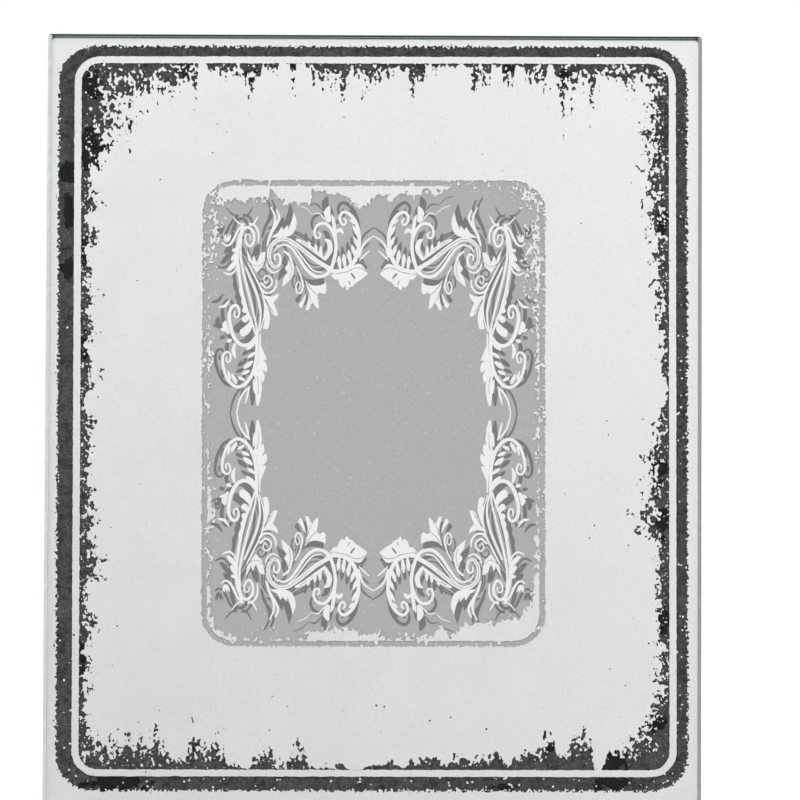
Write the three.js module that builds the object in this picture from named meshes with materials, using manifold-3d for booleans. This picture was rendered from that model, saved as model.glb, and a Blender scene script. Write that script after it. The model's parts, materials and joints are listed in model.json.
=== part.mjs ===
// A mirrored glass photo frame that stands on a fold-out easel strut.
//
// A clear glass plate carries a silvered film on its rear face. Two rings are etched out of the film
// near its edge, where a black backing sheet shows through, and a window in its middle shows the photo.
// The photo and a card lie in a pocket of the back board, behind a door that turn buttons hold shut.
// The strut hangs from a hinge on the door, and a ribbon stops it when it is open.
//
// Millimetres, +X to the right, +Y to the rear, +Z up. The origin is the middle of the footprint.
// The pieces sit in a leaning group, where x runs across the plate, y runs to the rear from the
// glass's front face, and z runs up the plate from its lower edge.

import * as THREE from "three";
import { mergeVertices } from "three/addons/utils/BufferGeometryUtils.js";
import Module from "manifold-3d";

const wasm = await Module();
wasm.setup();

// Glass plate
const PLATE_WIDTH = 228.6;
const PLATE_HEIGHT = 279.4;
const GLASS_THICKNESS = 3;
const GLASS_ARRIS = 0.6;
const LEAN_DEG = 17;

// Gap between two faces that rest on each other
const SEAT_GAP = 0.3;

// Silvered film and its etched border
const FILM_THICKNESS = 0.2;
const FILM_INSET = 0.9;
const FILM_CORNER_RADIUS = 0.6;
const BAND_INSET = 3.8;
const BAND_WIDTH = 4.6;
const BAND_CORNER_RADIUS = 12.5;
const LINE_WIDTH = 2.6;
const WORN_WIDTH = 3.2;

// Photo window in the film, with a line etched round it
const WINDOW_LAP = 3.5;
const WINDOW_RISE = 1.7;
const WINDOW_CORNER_RADIUS = 11.5;
const WINDOW_LINE_WIDTH = 2;
const WINDOW_RING_WIDTH = 2.2;

// Layers behind the film
const BACKING_THICKNESS = 0.4;
const BACKING_INSET = 2.2;
const BACKING_CORNER_RADIUS = 2;
const PHOTO_WIDTH = 127;
const PHOTO_HEIGHT = 177.8;
const PHOTO_THICKNESS = 0.25;
const CARD_THICKNESS = 1.5;
const DOOR_THICKNESS = 3.2;
const DOOR_CORNER_RADIUS = 2;
const DOOR_CLEARANCE = 0.6;
const BOARD_INSET = 6;
const BOARD_CORNER_RADIUS = 4;
const POCKET_CLEARANCE = 0.8;

// Rivets
const RIVET_SHANK_RADIUS = 1.5;
const RIVET_HEAD_RADIUS = 3;
const RIVET_HEAD_HEIGHT = 1.2;

// Turn buttons on the back board
const BUTTON_THICKNESS = 0.9;
const BUTTON_RADIUS = 4.6;
const BUTTON_LAP = 5;
const BUTTON_SETBACK = 7.5;
const BUTTON_FROM_DOOR_END = 37;

// Strut hinge
const HINGE_BELOW_DOOR_TOP = 40;
const HINGE_WIDTH = 34;
const PIN_OVERHANG = 0.8;
const FIXED_KNUCKLE_WIDTH = 8.5;
const KNUCKLE_SIDE_GAP = 0.4;
const LEAF_THICKNESS = 0.8;
const LEAF_LENGTH = 25;
const LEAF_CORNER_RADIUS = 4;
const LEAF_RIVET_MARGIN = 7.5;

// Easel strut
const OPEN_DEG = 32;
const STRUT_THICKNESS = 4;
const STRUT_SHOULDER = 6;
const STRUT_FOOT_WIDTH = 74;
const STRUT_CORNER_RADIUS = 7;
const STRUT_TOP_GAP = 1;
const FOLD_GAP = 0.6;

// Ribbon that stops the strut
const RIBBON_WIDTH = 10;
const RIBBON_THICKNESS = 0.5;
const RIBBON_ABOVE_DOOR_FOOT = 26;
const RIBBON_END_GAP = 0.8;
const SLOT_CLEARANCE = 0.5;

// Facets of round shapes
const CORNER_STEPS = 6;
const ROUND_STEPS = 20;

// Depths of the layers, counted from the glass's front face
const filmFront = GLASS_THICKNESS + SEAT_GAP;
const backingFront = filmFront + FILM_THICKNESS + SEAT_GAP;
const boardFront = backingFront + BACKING_THICKNESS + SEAT_GAP;
const photoFront = backingFront;
const cardFront = photoFront + PHOTO_THICKNESS + SEAT_GAP;
const doorFront = cardFront + CARD_THICKNESS + SEAT_GAP;
const doorRear = doorFront + DOOR_THICKNESS;
const boardThickness = doorRear - boardFront;
const buttonFront = doorRear + SEAT_GAP;

// Insets of the etched lines, counted from the plate's edge
const bandEnd = BAND_INSET + BAND_WIDTH;
const lineEnd = bandEnd + LINE_WIDTH;
const wornEnd = lineEnd + WORN_WIDTH;

// The pocket that holds the photo, its card and the door
const plateMiddle = PLATE_HEIGHT / 2;
const windowMiddle = plateMiddle + WINDOW_RISE;
const windowWidth = PHOTO_WIDTH - 2 * WINDOW_LAP;
const windowHeight = PHOTO_HEIGHT - 2 * WINDOW_LAP;
const pocketWidth = PHOTO_WIDTH + 2 * POCKET_CLEARANCE;
const pocketHeight = PHOTO_HEIGHT + 2 * POCKET_CLEARANCE;
const doorWidth = pocketWidth - 2 * DOOR_CLEARANCE;
const doorHeight = pocketHeight - 2 * DOOR_CLEARANCE;
const doorTop = windowMiddle + doorHeight / 2;
const doorFoot = windowMiddle - doorHeight / 2;
const buttonReach = BUTTON_SETBACK + DOOR_CLEARANCE + BUTTON_LAP;
const buttonRise = doorHeight / 2 - BUTTON_FROM_DOOR_END;

// Hinge and strut places. The folded leaves lie on either side of the strut, so it sets the knuckle's size.
const rivetHole = RIVET_SHANK_RADIUS + SEAT_GAP;
const knuckleRadius = (FOLD_GAP + STRUT_THICKNESS + LEAF_THICKNESS) / 2;
const knuckleBore = knuckleRadius - LEAF_THICKNESS;
const pinRadius = knuckleBore - SEAT_GAP;
const pinDepth = doorRear + SEAT_GAP + knuckleRadius;
const pinHeight = doorTop - HINGE_BELOW_DOOR_TOP;
const leafStart = knuckleRadius + KNUCKLE_SIDE_GAP;
const leafRivetX = HINGE_WIDTH / 2 - LEAF_RIVET_MARGIN;
const leafRivetZ = LEAF_LENGTH - LEAF_RIVET_MARGIN;
const strutRear = knuckleRadius - LEAF_THICKNESS - SEAT_GAP;
const strutFront = strutRear - STRUT_THICKNESS;
const strutTop = -(knuckleRadius + STRUT_TOP_GAP);
const strutTopHalf = HINGE_WIDTH / 2 + STRUT_SHOULDER;
const ribbonDrop = pinHeight - doorFoot - RIBBON_ABOVE_DOOR_FOOT;
const slotHeight = RIBBON_THICKNESS + 2 * SLOT_CLEARANCE;
const slotWidth = RIBBON_WIDTH + 2 * SLOT_CLEARANCE;

// Lean of the plate, and the height over the table of a point in the leaning group
const lean = THREE.MathUtils.degToRad(LEAN_DEG);
const open = THREE.MathUtils.degToRad(OPEN_DEG);
const heightOf = (depth, rise) => rise * Math.cos(lean) - depth * Math.sin(lean);
const tableHeight = Math.min(heightOf(GLASS_THICKNESS - GLASS_ARRIS, 0), heightOf(doorRear, BOARD_INSET));
const pinOverTable = heightOf(pinDepth, pinHeight) - tableHeight;

const material = (color, roughness, metalness) =>
  new THREE.MeshStandardMaterial({ color, roughness, metalness });
const glass = material(0xd6e4df, 0.02, 0);
glass.transparent = true;
glass.opacity = 0.35;
const silver = material(0xe2e5e2, 0.05, 1);
const blackPaper = material(0x3a3c3e, 0.7, 0);
const photoPaper = material(0xb2b2b2, 0.6, 0);
const greyCard = material(0x8f8a80, 0.9, 0);
const velvet = material(0x17171a, 0.95, 0);
const steel = material(0xb9bbbd, 0.35, 1);
const ribbonCloth = material(0x101012, 0.6, 0);

// Draws a rectangle with round corners, centred at (0, middle), on a shape or a hole.
function roundRectangle(path, width, height, radius, middle = 0) {
  const x = width / 2 - radius;
  const y = height / 2 - radius;
  const quarter = Math.PI / 2;
  path.moveTo(x, middle - y - radius);
  path.absarc(x, middle - y, radius, -quarter, 0);
  path.absarc(x, middle + y, radius, 0, quarter);
  path.absarc(-x, middle + y, radius, quarter, 2 * quarter);
  path.absarc(-x, middle - y, radius, 2 * quarter, 3 * quarter);
  path.closePath();
  return path;
}

function roundHole(x, z, radius) {
  return new THREE.Path().absarc(x, z, radius, 0, 2 * Math.PI);
}

function slotHole(z) {
  return roundRectangle(new THREE.Path(), slotWidth, slotHeight, SLOT_CLEARANCE, z);
}

// A flat piece cut to an outline, with its front face at the given depth and both rims chamfered.
function slab(outline, front, thickness, chamfer = 0) {
  const geometry = new THREE.ExtrudeGeometry(outline, {
    depth: thickness - 2 * chamfer,
    bevelEnabled: chamfer > 0,
    bevelThickness: chamfer,
    bevelSize: chamfer,
    bevelOffset: -chamfer,
    bevelSegments: 1,
    curveSegments: CORNER_STEPS,
  });
  geometry.rotateX(Math.PI / 2);
  geometry.translate(0, front + thickness - chamfer, 0);
  return geometry;
}

// A piece of even profile along X. The outline's x is depth and its y is height.
function alongX(outline, width) {
  const geometry = new THREE.ExtrudeGeometry(outline, {
    depth: width,
    bevelEnabled: false,
    curveSegments: CORNER_STEPS,
  });
  geometry.translate(0, 0, -width / 2);
  const depthAxis = new THREE.Vector3(0, 1, 0);
  const heightAxis = new THREE.Vector3(0, 0, 1);
  const widthAxis = new THREE.Vector3(1, 0, 0);
  return geometry.applyMatrix4(new THREE.Matrix4().makeBasis(depthAxis, heightAxis, widthAxis));
}

function toSolid(geometry) {
  const bare = geometry.clone();
  bare.deleteAttribute("normal");
  bare.deleteAttribute("uv");
  const merged = mergeVertices(bare);
  return new wasm.Manifold(
    new wasm.Mesh({
      numProp: 3,
      vertProperties: merged.attributes.position.array,
      triVerts: new Uint32Array(merged.index.array),
    }),
  );
}

function toGeometry(solid) {
  const mesh = solid.getMesh();
  const geometry = new THREE.BufferGeometry();
  geometry.setAttribute("position", new THREE.BufferAttribute(mesh.vertProperties, 3));
  geometry.setIndex(new THREE.BufferAttribute(mesh.triVerts, 1));
  geometry.computeVertexNormals();
  return geometry;
}

function add(parent, name, geometry, look) {
  const mesh = new THREE.Mesh(geometry, look);
  mesh.name = name;
  parent.add(mesh);
  return mesh;
}

// A rivet with a domed head to the rear. Its head seats at y = 0 and its shank runs to -length.
function rivet(length) {
  const dome = new THREE.QuadraticBezierCurve(
    new THREE.Vector2(RIVET_HEAD_RADIUS, 0),
    new THREE.Vector2(RIVET_HEAD_RADIUS, RIVET_HEAD_HEIGHT),
    new THREE.Vector2(0, RIVET_HEAD_HEIGHT),
  );
  const profile = [
    new THREE.Vector2(0, -length),
    new THREE.Vector2(RIVET_SHANK_RADIUS, -length),
    new THREE.Vector2(RIVET_SHANK_RADIUS, 0),
    ...dome.getPoints(CORNER_STEPS / 2),
  ];
  return new THREE.LatheGeometry(profile, ROUND_STEPS);
}

// The outline of a strip of even thickness that follows a bent line, with mitred corners.
function stripOutline(line, thickness) {
  const upper = [];
  const lower = [];
  line.forEach((point, i) => {
    const next = line[Math.min(i + 1, line.length - 1)];
    const last = line[Math.max(i - 1, 0)];
    const leaving = i < line.length - 1 ? next.clone().sub(point) : point.clone().sub(last);
    const arriving = i > 0 ? point.clone().sub(last) : leaving.clone();
    leaving.normalize();
    const tangent = arriving.normalize().add(leaving).normalize();
    const reach = thickness / 2 / tangent.dot(leaving);
    const across = new THREE.Vector2(-tangent.y, tangent.x).multiplyScalar(reach);
    upper.push(point.clone().add(across));
    lower.unshift(point.clone().sub(across));
  });
  return new THREE.Shape([...upper, ...lower]);
}

function glassPlate() {
  const outline = new THREE.Shape();
  outline.moveTo(-PLATE_WIDTH / 2, 0);
  outline.lineTo(PLATE_WIDTH / 2, 0);
  outline.lineTo(PLATE_WIDTH / 2, PLATE_HEIGHT);
  outline.lineTo(-PLATE_WIDTH / 2, PLATE_HEIGHT);
  outline.closePath();
  return slab(outline, 0, GLASS_THICKNESS, GLASS_ARRIS);
}

// A closed line round the plate, at an inset from its edge. The border's rings share their corner centres.
function plateRing(path, inset, radius = BAND_CORNER_RADIUS + BAND_INSET - inset) {
  const width = PLATE_WIDTH - 2 * inset;
  const height = PLATE_HEIGHT - 2 * inset;
  return roundRectangle(path, width, height, Math.max(radius, FILM_CORNER_RADIUS), plateMiddle);
}

// A closed line round the photo window, at an inset from its outer line.
function windowRing(path, inset) {
  const width = windowWidth - 2 * inset;
  const height = windowHeight - 2 * inset;
  return roundRectangle(path, width, height, WINDOW_CORNER_RADIUS - inset, windowMiddle);
}

// What the etching leaves of the film: four rings, one inside the other.
function addFilm(parent) {
  const rings = {
    silver_rim: [
      plateRing(new THREE.Shape(), FILM_INSET, FILM_CORNER_RADIUS),
      plateRing(new THREE.Path(), BAND_INSET),
    ],
    silver_line: [plateRing(new THREE.Shape(), bandEnd), plateRing(new THREE.Path(), lineEnd)],
    silver_field: [plateRing(new THREE.Shape(), wornEnd), windowRing(new THREE.Path(), 0)],
    silver_window_ring: [
      windowRing(new THREE.Shape(), WINDOW_LINE_WIDTH),
      windowRing(new THREE.Path(), WINDOW_LINE_WIDTH + WINDOW_RING_WIDTH),
    ],
  };
  for (const [name, [outline, hole]] of Object.entries(rings)) {
    outline.holes.push(hole);
    add(parent, name, slab(outline, filmFront, FILM_THICKNESS), silver);
  }
}

function pocketHole() {
  return roundRectangle(new THREE.Path(), pocketWidth, pocketHeight, DOOR_CORNER_RADIUS, windowMiddle);
}

function addBacking(parent) {
  const outline = plateRing(new THREE.Shape(), BACKING_INSET, BACKING_CORNER_RADIUS);
  outline.holes.push(pocketHole());
  add(parent, "black_backing", slab(outline, backingFront, BACKING_THICKNESS), blackPaper);
}

function addPhotoAndCard(parent) {
  const sheet = new THREE.BoxGeometry(PHOTO_WIDTH, PHOTO_THICKNESS, PHOTO_HEIGHT);
  add(parent, "photo_print", sheet, photoPaper).position.set(
    0,
    photoFront + PHOTO_THICKNESS / 2,
    windowMiddle,
  );
  const filler = new THREE.BoxGeometry(PHOTO_WIDTH, CARD_THICKNESS, PHOTO_HEIGHT);
  add(parent, "backer_card", filler, greyCard).position.set(
    0,
    cardFront + CARD_THICKNESS / 2,
    windowMiddle,
  );
}

// The board with its photo pocket, and on it the turn buttons that hold the door.
function addBoardAndButtons(parent) {
  const outline = plateRing(new THREE.Shape(), BOARD_INSET, BOARD_CORNER_RADIUS);
  outline.holes.push(pocketHole());
  const pivotOut = pocketWidth / 2 + BUTTON_SETBACK;
  const buttonRear = buttonFront + BUTTON_THICKNESS;
  const rivetSeat = buttonRear + SEAT_GAP;
  for (const [sideName, side] of [["left", -1], ["right", 1]]) {
    for (const [endName, end] of [["upper", 1], ["lower", -1]]) {
      const x = side * pivotOut;
      const z = windowMiddle + end * buttonRise;
      outline.holes.push(roundHole(x, z, rivetHole));
      const button = add(parent, `turn_button_${endName}_${sideName}`, turnButton(), steel);
      button.position.set(x, buttonFront, z);
      button.rotation.y = side > 0 ? Math.PI : 0;
      const shank = rivetSeat - boardFront;
      const pivot = add(parent, `button_rivet_${endName}_${sideName}`, rivet(shank), steel);
      pivot.position.set(x, rivetSeat, z);
    }
  }
  add(parent, "back_board", slab(outline, boardFront, boardThickness), velvet);
}

// A turn button with its pivot at the origin and its tip along +X.
function turnButton() {
  const outline = new THREE.Shape();
  outline.moveTo(0, -BUTTON_RADIUS);
  outline.absarc(buttonReach - BUTTON_RADIUS, 0, BUTTON_RADIUS, -Math.PI / 2, Math.PI / 2);
  outline.absarc(0, 0, BUTTON_RADIUS, Math.PI / 2, (3 * Math.PI) / 2);
  outline.holes.push(roundHole(0, 0, rivetHole));
  return slab(outline, 0, BUTTON_THICKNESS);
}

// The door has rivet holes for the hinge and a slot for the ribbon.
function addDoor(parent) {
  const outline = new THREE.Shape();
  roundRectangle(outline, doorWidth, doorHeight, DOOR_CORNER_RADIUS, windowMiddle);
  outline.holes.push(slotHole(pinHeight - ribbonDrop));
  const rivetSeat = doorRear + 2 * SEAT_GAP + LEAF_THICKNESS;
  for (const [sideName, side] of [["left", -1], ["right", 1]]) {
    const rivetX = side * leafRivetX;
    const rivetZ = pinHeight + leafRivetZ;
    outline.holes.push(roundHole(rivetX, rivetZ, rivetHole));
    const pin = add(parent, `door_rivet_${sideName}`, rivet(rivetSeat - doorFront), steel);
    pin.position.set(rivetX, rivetSeat, rivetZ);
  }
  add(parent, "back_door", slab(outline, doorFront, DOOR_THICKNESS), velvet);
}

// A hinge leaf that rises from its knuckles, with the pin's axis along X through the origin.
function hingeLeaf(knuckles) {
  const height = LEAF_LENGTH - leafStart;
  const outline = new THREE.Shape();
  roundRectangle(outline, HINGE_WIDTH, height, LEAF_CORNER_RADIUS, leafStart + height / 2);
  for (const side of [-1, 1]) {
    outline.holes.push(roundHole(side * leafRivetX, leafRivetZ, rivetHole));
  }
  let leaf = toSolid(slab(outline, -knuckleRadius, LEAF_THICKNESS));
  for (const [start, end] of knuckles) {
    const width = end - start;
    const ring = new THREE.LatheGeometry(
      [
        new THREE.Vector2(knuckleBore, 0),
        new THREE.Vector2(knuckleRadius, 0),
        new THREE.Vector2(knuckleRadius, width),
        new THREE.Vector2(knuckleBore, width),
        new THREE.Vector2(knuckleBore, 0),
      ],
      ROUND_STEPS,
    );
    ring.rotateZ(-Math.PI / 2);
    ring.translate(start, 0, 0);
    const tabHeight = leafStart + LEAF_CORNER_RADIUS;
    const tab = new THREE.BoxGeometry(width, LEAF_THICKNESS, tabHeight);
    tab.translate(start + width / 2, LEAF_THICKNESS / 2 - knuckleRadius, tabHeight / 2);
    leaf = leaf.add(toSolid(ring)).add(toSolid(tab));
  }
  return toGeometry(leaf);
}

function addHinge(parent, strut) {
  const half = HINGE_WIDTH / 2;
  const split = half - FIXED_KNUCKLE_WIDTH;
  const middle = split - KNUCKLE_SIDE_GAP;
  const fixed = add(parent, "hinge_fixed_leaf", hingeLeaf([[-half, -split], [split, half]]), steel);
  fixed.position.set(0, pinDepth, pinHeight);
  const pinShape = new THREE.CylinderGeometry(
    pinRadius,
    pinRadius,
    HINGE_WIDTH + 2 * PIN_OVERHANG,
    ROUND_STEPS,
  );
  const pin = add(parent, "hinge_pin", pinShape.rotateZ(Math.PI / 2), steel);
  pin.position.copy(fixed.position);
  const moving = add(strut, "hinge_moving_leaf", hingeLeaf([[-middle, middle]]), steel);
  moving.rotation.x = Math.PI;
}

// The strut hangs from the pin at the origin. Its foot is cut along the table.
function addStrut(strut) {
  const slant = open - lean;
  const footRise = -(pinOverTable + STRUT_THICKNESS) / Math.cos(slant);
  const outline = new THREE.Shape();
  const footHalf = STRUT_FOOT_WIDTH / 2;
  outline.moveTo(-footHalf, footRise);
  outline.lineTo(footHalf, footRise);
  outline.lineTo(strutTopHalf, strutTop - STRUT_CORNER_RADIUS);
  outline.quadraticCurveTo(strutTopHalf, strutTop, strutTopHalf - STRUT_CORNER_RADIUS, strutTop);
  outline.lineTo(STRUT_CORNER_RADIUS - strutTopHalf, strutTop);
  outline.quadraticCurveTo(-strutTopHalf, strutTop, -strutTopHalf, strutTop - STRUT_CORNER_RADIUS);
  outline.closePath();
  outline.holes.push(slotHole(-ribbonDrop));
  const rivetSeat = knuckleRadius + SEAT_GAP;
  for (const [sideName, side] of [["left", -1], ["right", 1]]) {
    const x = side * leafRivetX;
    outline.holes.push(roundHole(x, -leafRivetZ, rivetHole));
    const pin = add(strut, `strut_rivet_${sideName}`, rivet(rivetSeat - strutFront), steel);
    pin.position.set(x, rivetSeat, -leafRivetZ);
  }
  const table = new THREE.BoxGeometry(2 * STRUT_FOOT_WIDTH, 2 * pinOverTable, 2 * pinOverTable);
  table.translate(0, 0, -2 * pinOverTable);
  table.rotateX(-slant);
  const board = toSolid(slab(outline, strutFront, STRUT_THICKNESS));
  add(strut, "easel_strut", toGeometry(board.subtract(toSolid(table))), velvet);
}

// The ribbon is tucked into a slot of the door and a slot of the open strut, and is taut between them.
function addRibbon(parent) {
  const pin = new THREE.Vector2(pinDepth, pinHeight);
  const doorSlot = new THREE.Vector2(doorRear, pinHeight - ribbonDrop);
  const strutSlot = new THREE.Vector2(strutFront, -ribbonDrop);
  const strutTuck = new THREE.Vector2(strutRear - RIBBON_END_GAP, -ribbonDrop);
  const line = [
    new THREE.Vector2(doorFront + RIBBON_END_GAP, doorSlot.y),
    doorSlot,
    strutSlot.rotateAround(new THREE.Vector2(), open).add(pin),
    strutTuck.rotateAround(new THREE.Vector2(), open).add(pin),
  ];
  add(parent, "stay_ribbon", alongX(stripOutline(line, RIBBON_THICKNESS), RIBBON_WIDTH), ribbonCloth);
}

const frame = new THREE.Group();
const plate = new THREE.Group();
plate.rotation.x = -lean;
frame.add(plate);
const strut = new THREE.Group();
strut.position.set(0, pinDepth, pinHeight);
strut.rotation.x = open;
plate.add(strut);

add(plate, "front_glass", glassPlate(), glass);
addFilm(plate);
addBacking(plate);
addPhotoAndCard(plate);
addBoardAndButtons(plate);
addDoor(plate);
addHinge(plate, strut);
addStrut(strut);
addRibbon(plate);

// The frame stands on the table, with the origin in the middle of its footprint.
const bounds = new THREE.Box3().setFromObject(frame, true);
plate.position.set(0, -(bounds.min.y + bounds.max.y) / 2, -tableHeight);

export default frame;
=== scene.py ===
import json
import math

import bmesh
import bpy
import numpy as np
from mathutils import Matrix, Vector
from mathutils.geometry import delaunay_2d_cdt


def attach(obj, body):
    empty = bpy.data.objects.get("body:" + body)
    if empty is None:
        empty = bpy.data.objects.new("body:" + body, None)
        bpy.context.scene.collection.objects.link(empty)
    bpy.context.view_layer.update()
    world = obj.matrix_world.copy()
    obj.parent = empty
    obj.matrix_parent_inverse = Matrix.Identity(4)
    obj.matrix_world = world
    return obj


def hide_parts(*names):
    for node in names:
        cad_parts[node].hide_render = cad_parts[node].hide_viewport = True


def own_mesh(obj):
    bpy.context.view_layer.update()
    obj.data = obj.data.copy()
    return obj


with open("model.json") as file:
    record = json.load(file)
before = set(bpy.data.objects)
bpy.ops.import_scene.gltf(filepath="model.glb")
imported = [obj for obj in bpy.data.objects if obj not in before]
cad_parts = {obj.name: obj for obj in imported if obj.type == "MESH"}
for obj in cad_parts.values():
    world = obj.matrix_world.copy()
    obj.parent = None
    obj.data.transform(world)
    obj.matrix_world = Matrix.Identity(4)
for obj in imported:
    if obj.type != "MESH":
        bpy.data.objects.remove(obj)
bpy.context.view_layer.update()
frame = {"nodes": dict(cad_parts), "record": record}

# The plate's own frame is in millimetres: x across, depth to the rear from the front face, and rise from the
# lower edge.
MM = 0.001
GLASS_THICKNESS = 3.0
mounts = {mount["name"]: mount for mount in frame["record"]["mounts"]}
lower_edge = mounts["glass_lower_edge"]
UP = -Vector(lower_edge["axis"]).normalized()
REAR = Vector((0, UP.z, -UP.y))
ORIGIN = Vector(lower_edge["pos_m"]) - REAR * (GLASS_THICKNESS / 2 * MM)
PLATE_AXES = Matrix((Vector((1, 0, 0)), REAR, UP)).transposed().to_4x4()
TO_WORLD = Matrix.Translation(ORIGIN) @ PLATE_AXES @ Matrix.Scale(MM, 4)
TO_PLATE = TO_WORLD.inverted()
BODY_OF = {node: body for body, nodes in frame["record"]["behaviour"]["bodies"].items() for node in nodes}


def plate_box(node):
    """Lowest and highest corner of a node in the plate's frame."""
    corners = np.array([TO_PLATE @ vertex.co for vertex in frame["nodes"][node].data.vertices])
    return corners.min(axis=0), corners.max(axis=0)


glass_low, glass_high = plate_box("front_glass")
film_low, film_high = plate_box("silver_field")
insert_low, insert_high = plate_box("photo_print")
PLATE_WIDTH = glass_high[0] - glass_low[0]
PLATE_HEIGHT = glass_high[2] - glass_low[2]
PLATE_MIDDLE = (glass_high[2] + glass_low[2]) / 2

# Etched pattern, from the middle of the plate
PATTERN_TILT = math.radians(0.15)
PATTERN_SHIFT = (0.45, 1.6)
LINE_HALF = (105.05, 130.75)
LINE_WIDTH = 2.45
BAND_LEFT = 5.5
BAND_RIGHT = 3.9
BAND_TOP = 3.7
BAND_BOTTOM = 5.1
BAND_RADIUS = 13.0
LINE_RADIUS = 9.2
WORN_RADIUS = 6.7
WINDOW_SHIFT = (0.1, 2.5)
WINDOW_HALF = (59.75, 84.65)
WINDOW_RADIUS = 11.5
WINDOW_LINE = 2.0

# The lists of each side say how far its wear reaches inward from the etched line, as (place along the side,
# reach). A place is in steps of WEAR_STEP millimetres across or up. The first three say for the top, right,
# bottom and left side how far the wear is scattered, at which share of its reach half of the film is gone,
# and how few crumbs of film it leaves.
WEAR_STEP = (0.995, 0.992)
WEAR_SCATTER = [
    [(0, 0.5)],
    [(-112, 0.3), (-104, 0.5), (-84, 0.5), (-80, 0.2), (-48, 0.2), (-40, 0.42)],
    [(10, 0.42), (40, 0.27)],
    [(0, 0.42)],
]
WEAR_MIDDLE = [[(0, 0.58)], [(-108, 0.64), (-103, 0.5), (-84, 0.5), (-80, 0.64)], [(0, 0.68)], [(0, 0.68)]]
WEAR_CRUMBS = [[(0, 1.5)], [(0, 1.2)], [(0, 1.3)], [(84, 1.2), (90, 2.4), (106, 2.4), (112, 1.5)]]
TOP_WEAR = [
    (-103, 16), (-93, 16), (-88, 18), (-82, 15), (-75, 10), (-71, 13), (-66, 10), (-62.5, 9), (-61.6, 0.2),
    (-60, 0.2), (-59.3, 4.5), (-50, 6), (-46, 9), (-41, 9), (-39.4, 0.2), (-38.4, 3.5), (-34.5, 3.5),
    (-33.6, 0.2), (-30.2, 0.2), (-29.4, 10), (-28.4, 10), (-27.6, 0.2), (-24.8, 0.4), (-23, 6), (-22, 9),
    (-20.5, 4), (-17, 9), (-10, 7.5), (-4, 7), (2.5, 7.5), (6.5, 3.5), (8.4, 0.4), (9.6, 7), (13, 9),
    (16, 7.5), (18, 2), (31, 0.8), (33.2, 1.5), (33.8, 7.5), (40.4, 7.5), (41.2, 1.2), (44.4, 1.2),
    (45, 9), (48.6, 9), (49.2, 1), (52.4, 1.2), (53.4, 9), (60.2, 7.5), (61, 1.5), (62.6, 2), (63.4, 12),
    (67, 14), (70, 9), (72, 6), (75, 12), (77, 8), (82, 7), (84.5, 5), (87, 9), (90, 8), (94, 9),
    (103, 11),
]
RIGHT_WEAR = [
    (-129, 24), (-122, 19), (-116, 14), (-111, 9.5), (-105, 6.5), (-100.5, 6), (-99, 1.5), (-97, 6),
    (-88, 6.5), (-85.5, 2), (-83, 6), (-70, 5.6), (-60, 5.4), (-46, 5.6), (-42, 12), (-38, 13), (-34, 11),
    (-27, 8.5), (-20, 7.5), (-15, 10), (-11, 6.5), (-3.5, 6), (0.5, 3.6), (4, 3), (7, 1.5), (11, 1.4),
    (13.5, 2.5), (20, 3.2), (26, 3.6), (30, 3.6), (33, 5.2), (38, 4.7), (42, 5.2), (53, 6.2), (64, 6.2),
    (77, 8.3), (82, 8.3), (87, 9.5), (93, 8.5), (99, 8.5), (104, 9.5), (110, 7.5), (117, 7.5), (129, 8),
]
BOTTOM_WEAR = [
    (-103, 12), (-96, 10.5), (-89, 9.5), (-84, 13.5), (-81.5, 13.5), (-78, 9.5), (-75.5, 16), (-73, 11),
    (-71, 4), (-66, 6), (-62.5, 13.5), (-59, 10.5), (-55.5, 14.5), (-53, 9), (-51, 2), (-48, 4),
    (-46, 0.6), (-43.2, 0.6), (-42.4, 4.5), (-39, 6.5), (-36.3, 11), (-34.4, 5), (-33.7, 0.4), (-33, 3.6),
    (-31.6, 3.6), (-31, 0.4), (-30.2, 5), (-28.6, 6.5), (-25.9, 11), (-23.4, 5.5), (-22.4, 1.5),
    (-21.6, 1.5), (-19.4, 0.4), (-17, 3), (-15.4, 0.3), (-13.2, 2.2), (-10.8, 2.2), (-8.4, 0.2), (-4, 0.2),
    (-2, 2.2), (1, 2.2), (4, 4.4), (6.3, 4.4), (8.4, 1.2), (11, 2.4), (13.4, 4.6), (16, 5.4), (23, 4.4),
    (25.6, 2.2), (27.4, 5.4), (33.6, 3.8), (37, 5.5), (42.4, 8.5), (45, 4.2), (47.6, 3.4), (51, 5.5),
    (54.6, 7.5), (58, 11), (60, 16.5), (61.6, 14), (63.7, 8.5), (66, 6.5), (68, 8.5), (70.4, 13),
    (72.8, 16), (75, 13), (76.4, 6.5), (77, 0.2), (79.2, 0.2), (80.6, 6.5), (82, 9.5), (83.3, 7.5),
    (85, 9.5), (89.6, 12), (93, 14), (96.6, 19), (103, 24),
]
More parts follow.
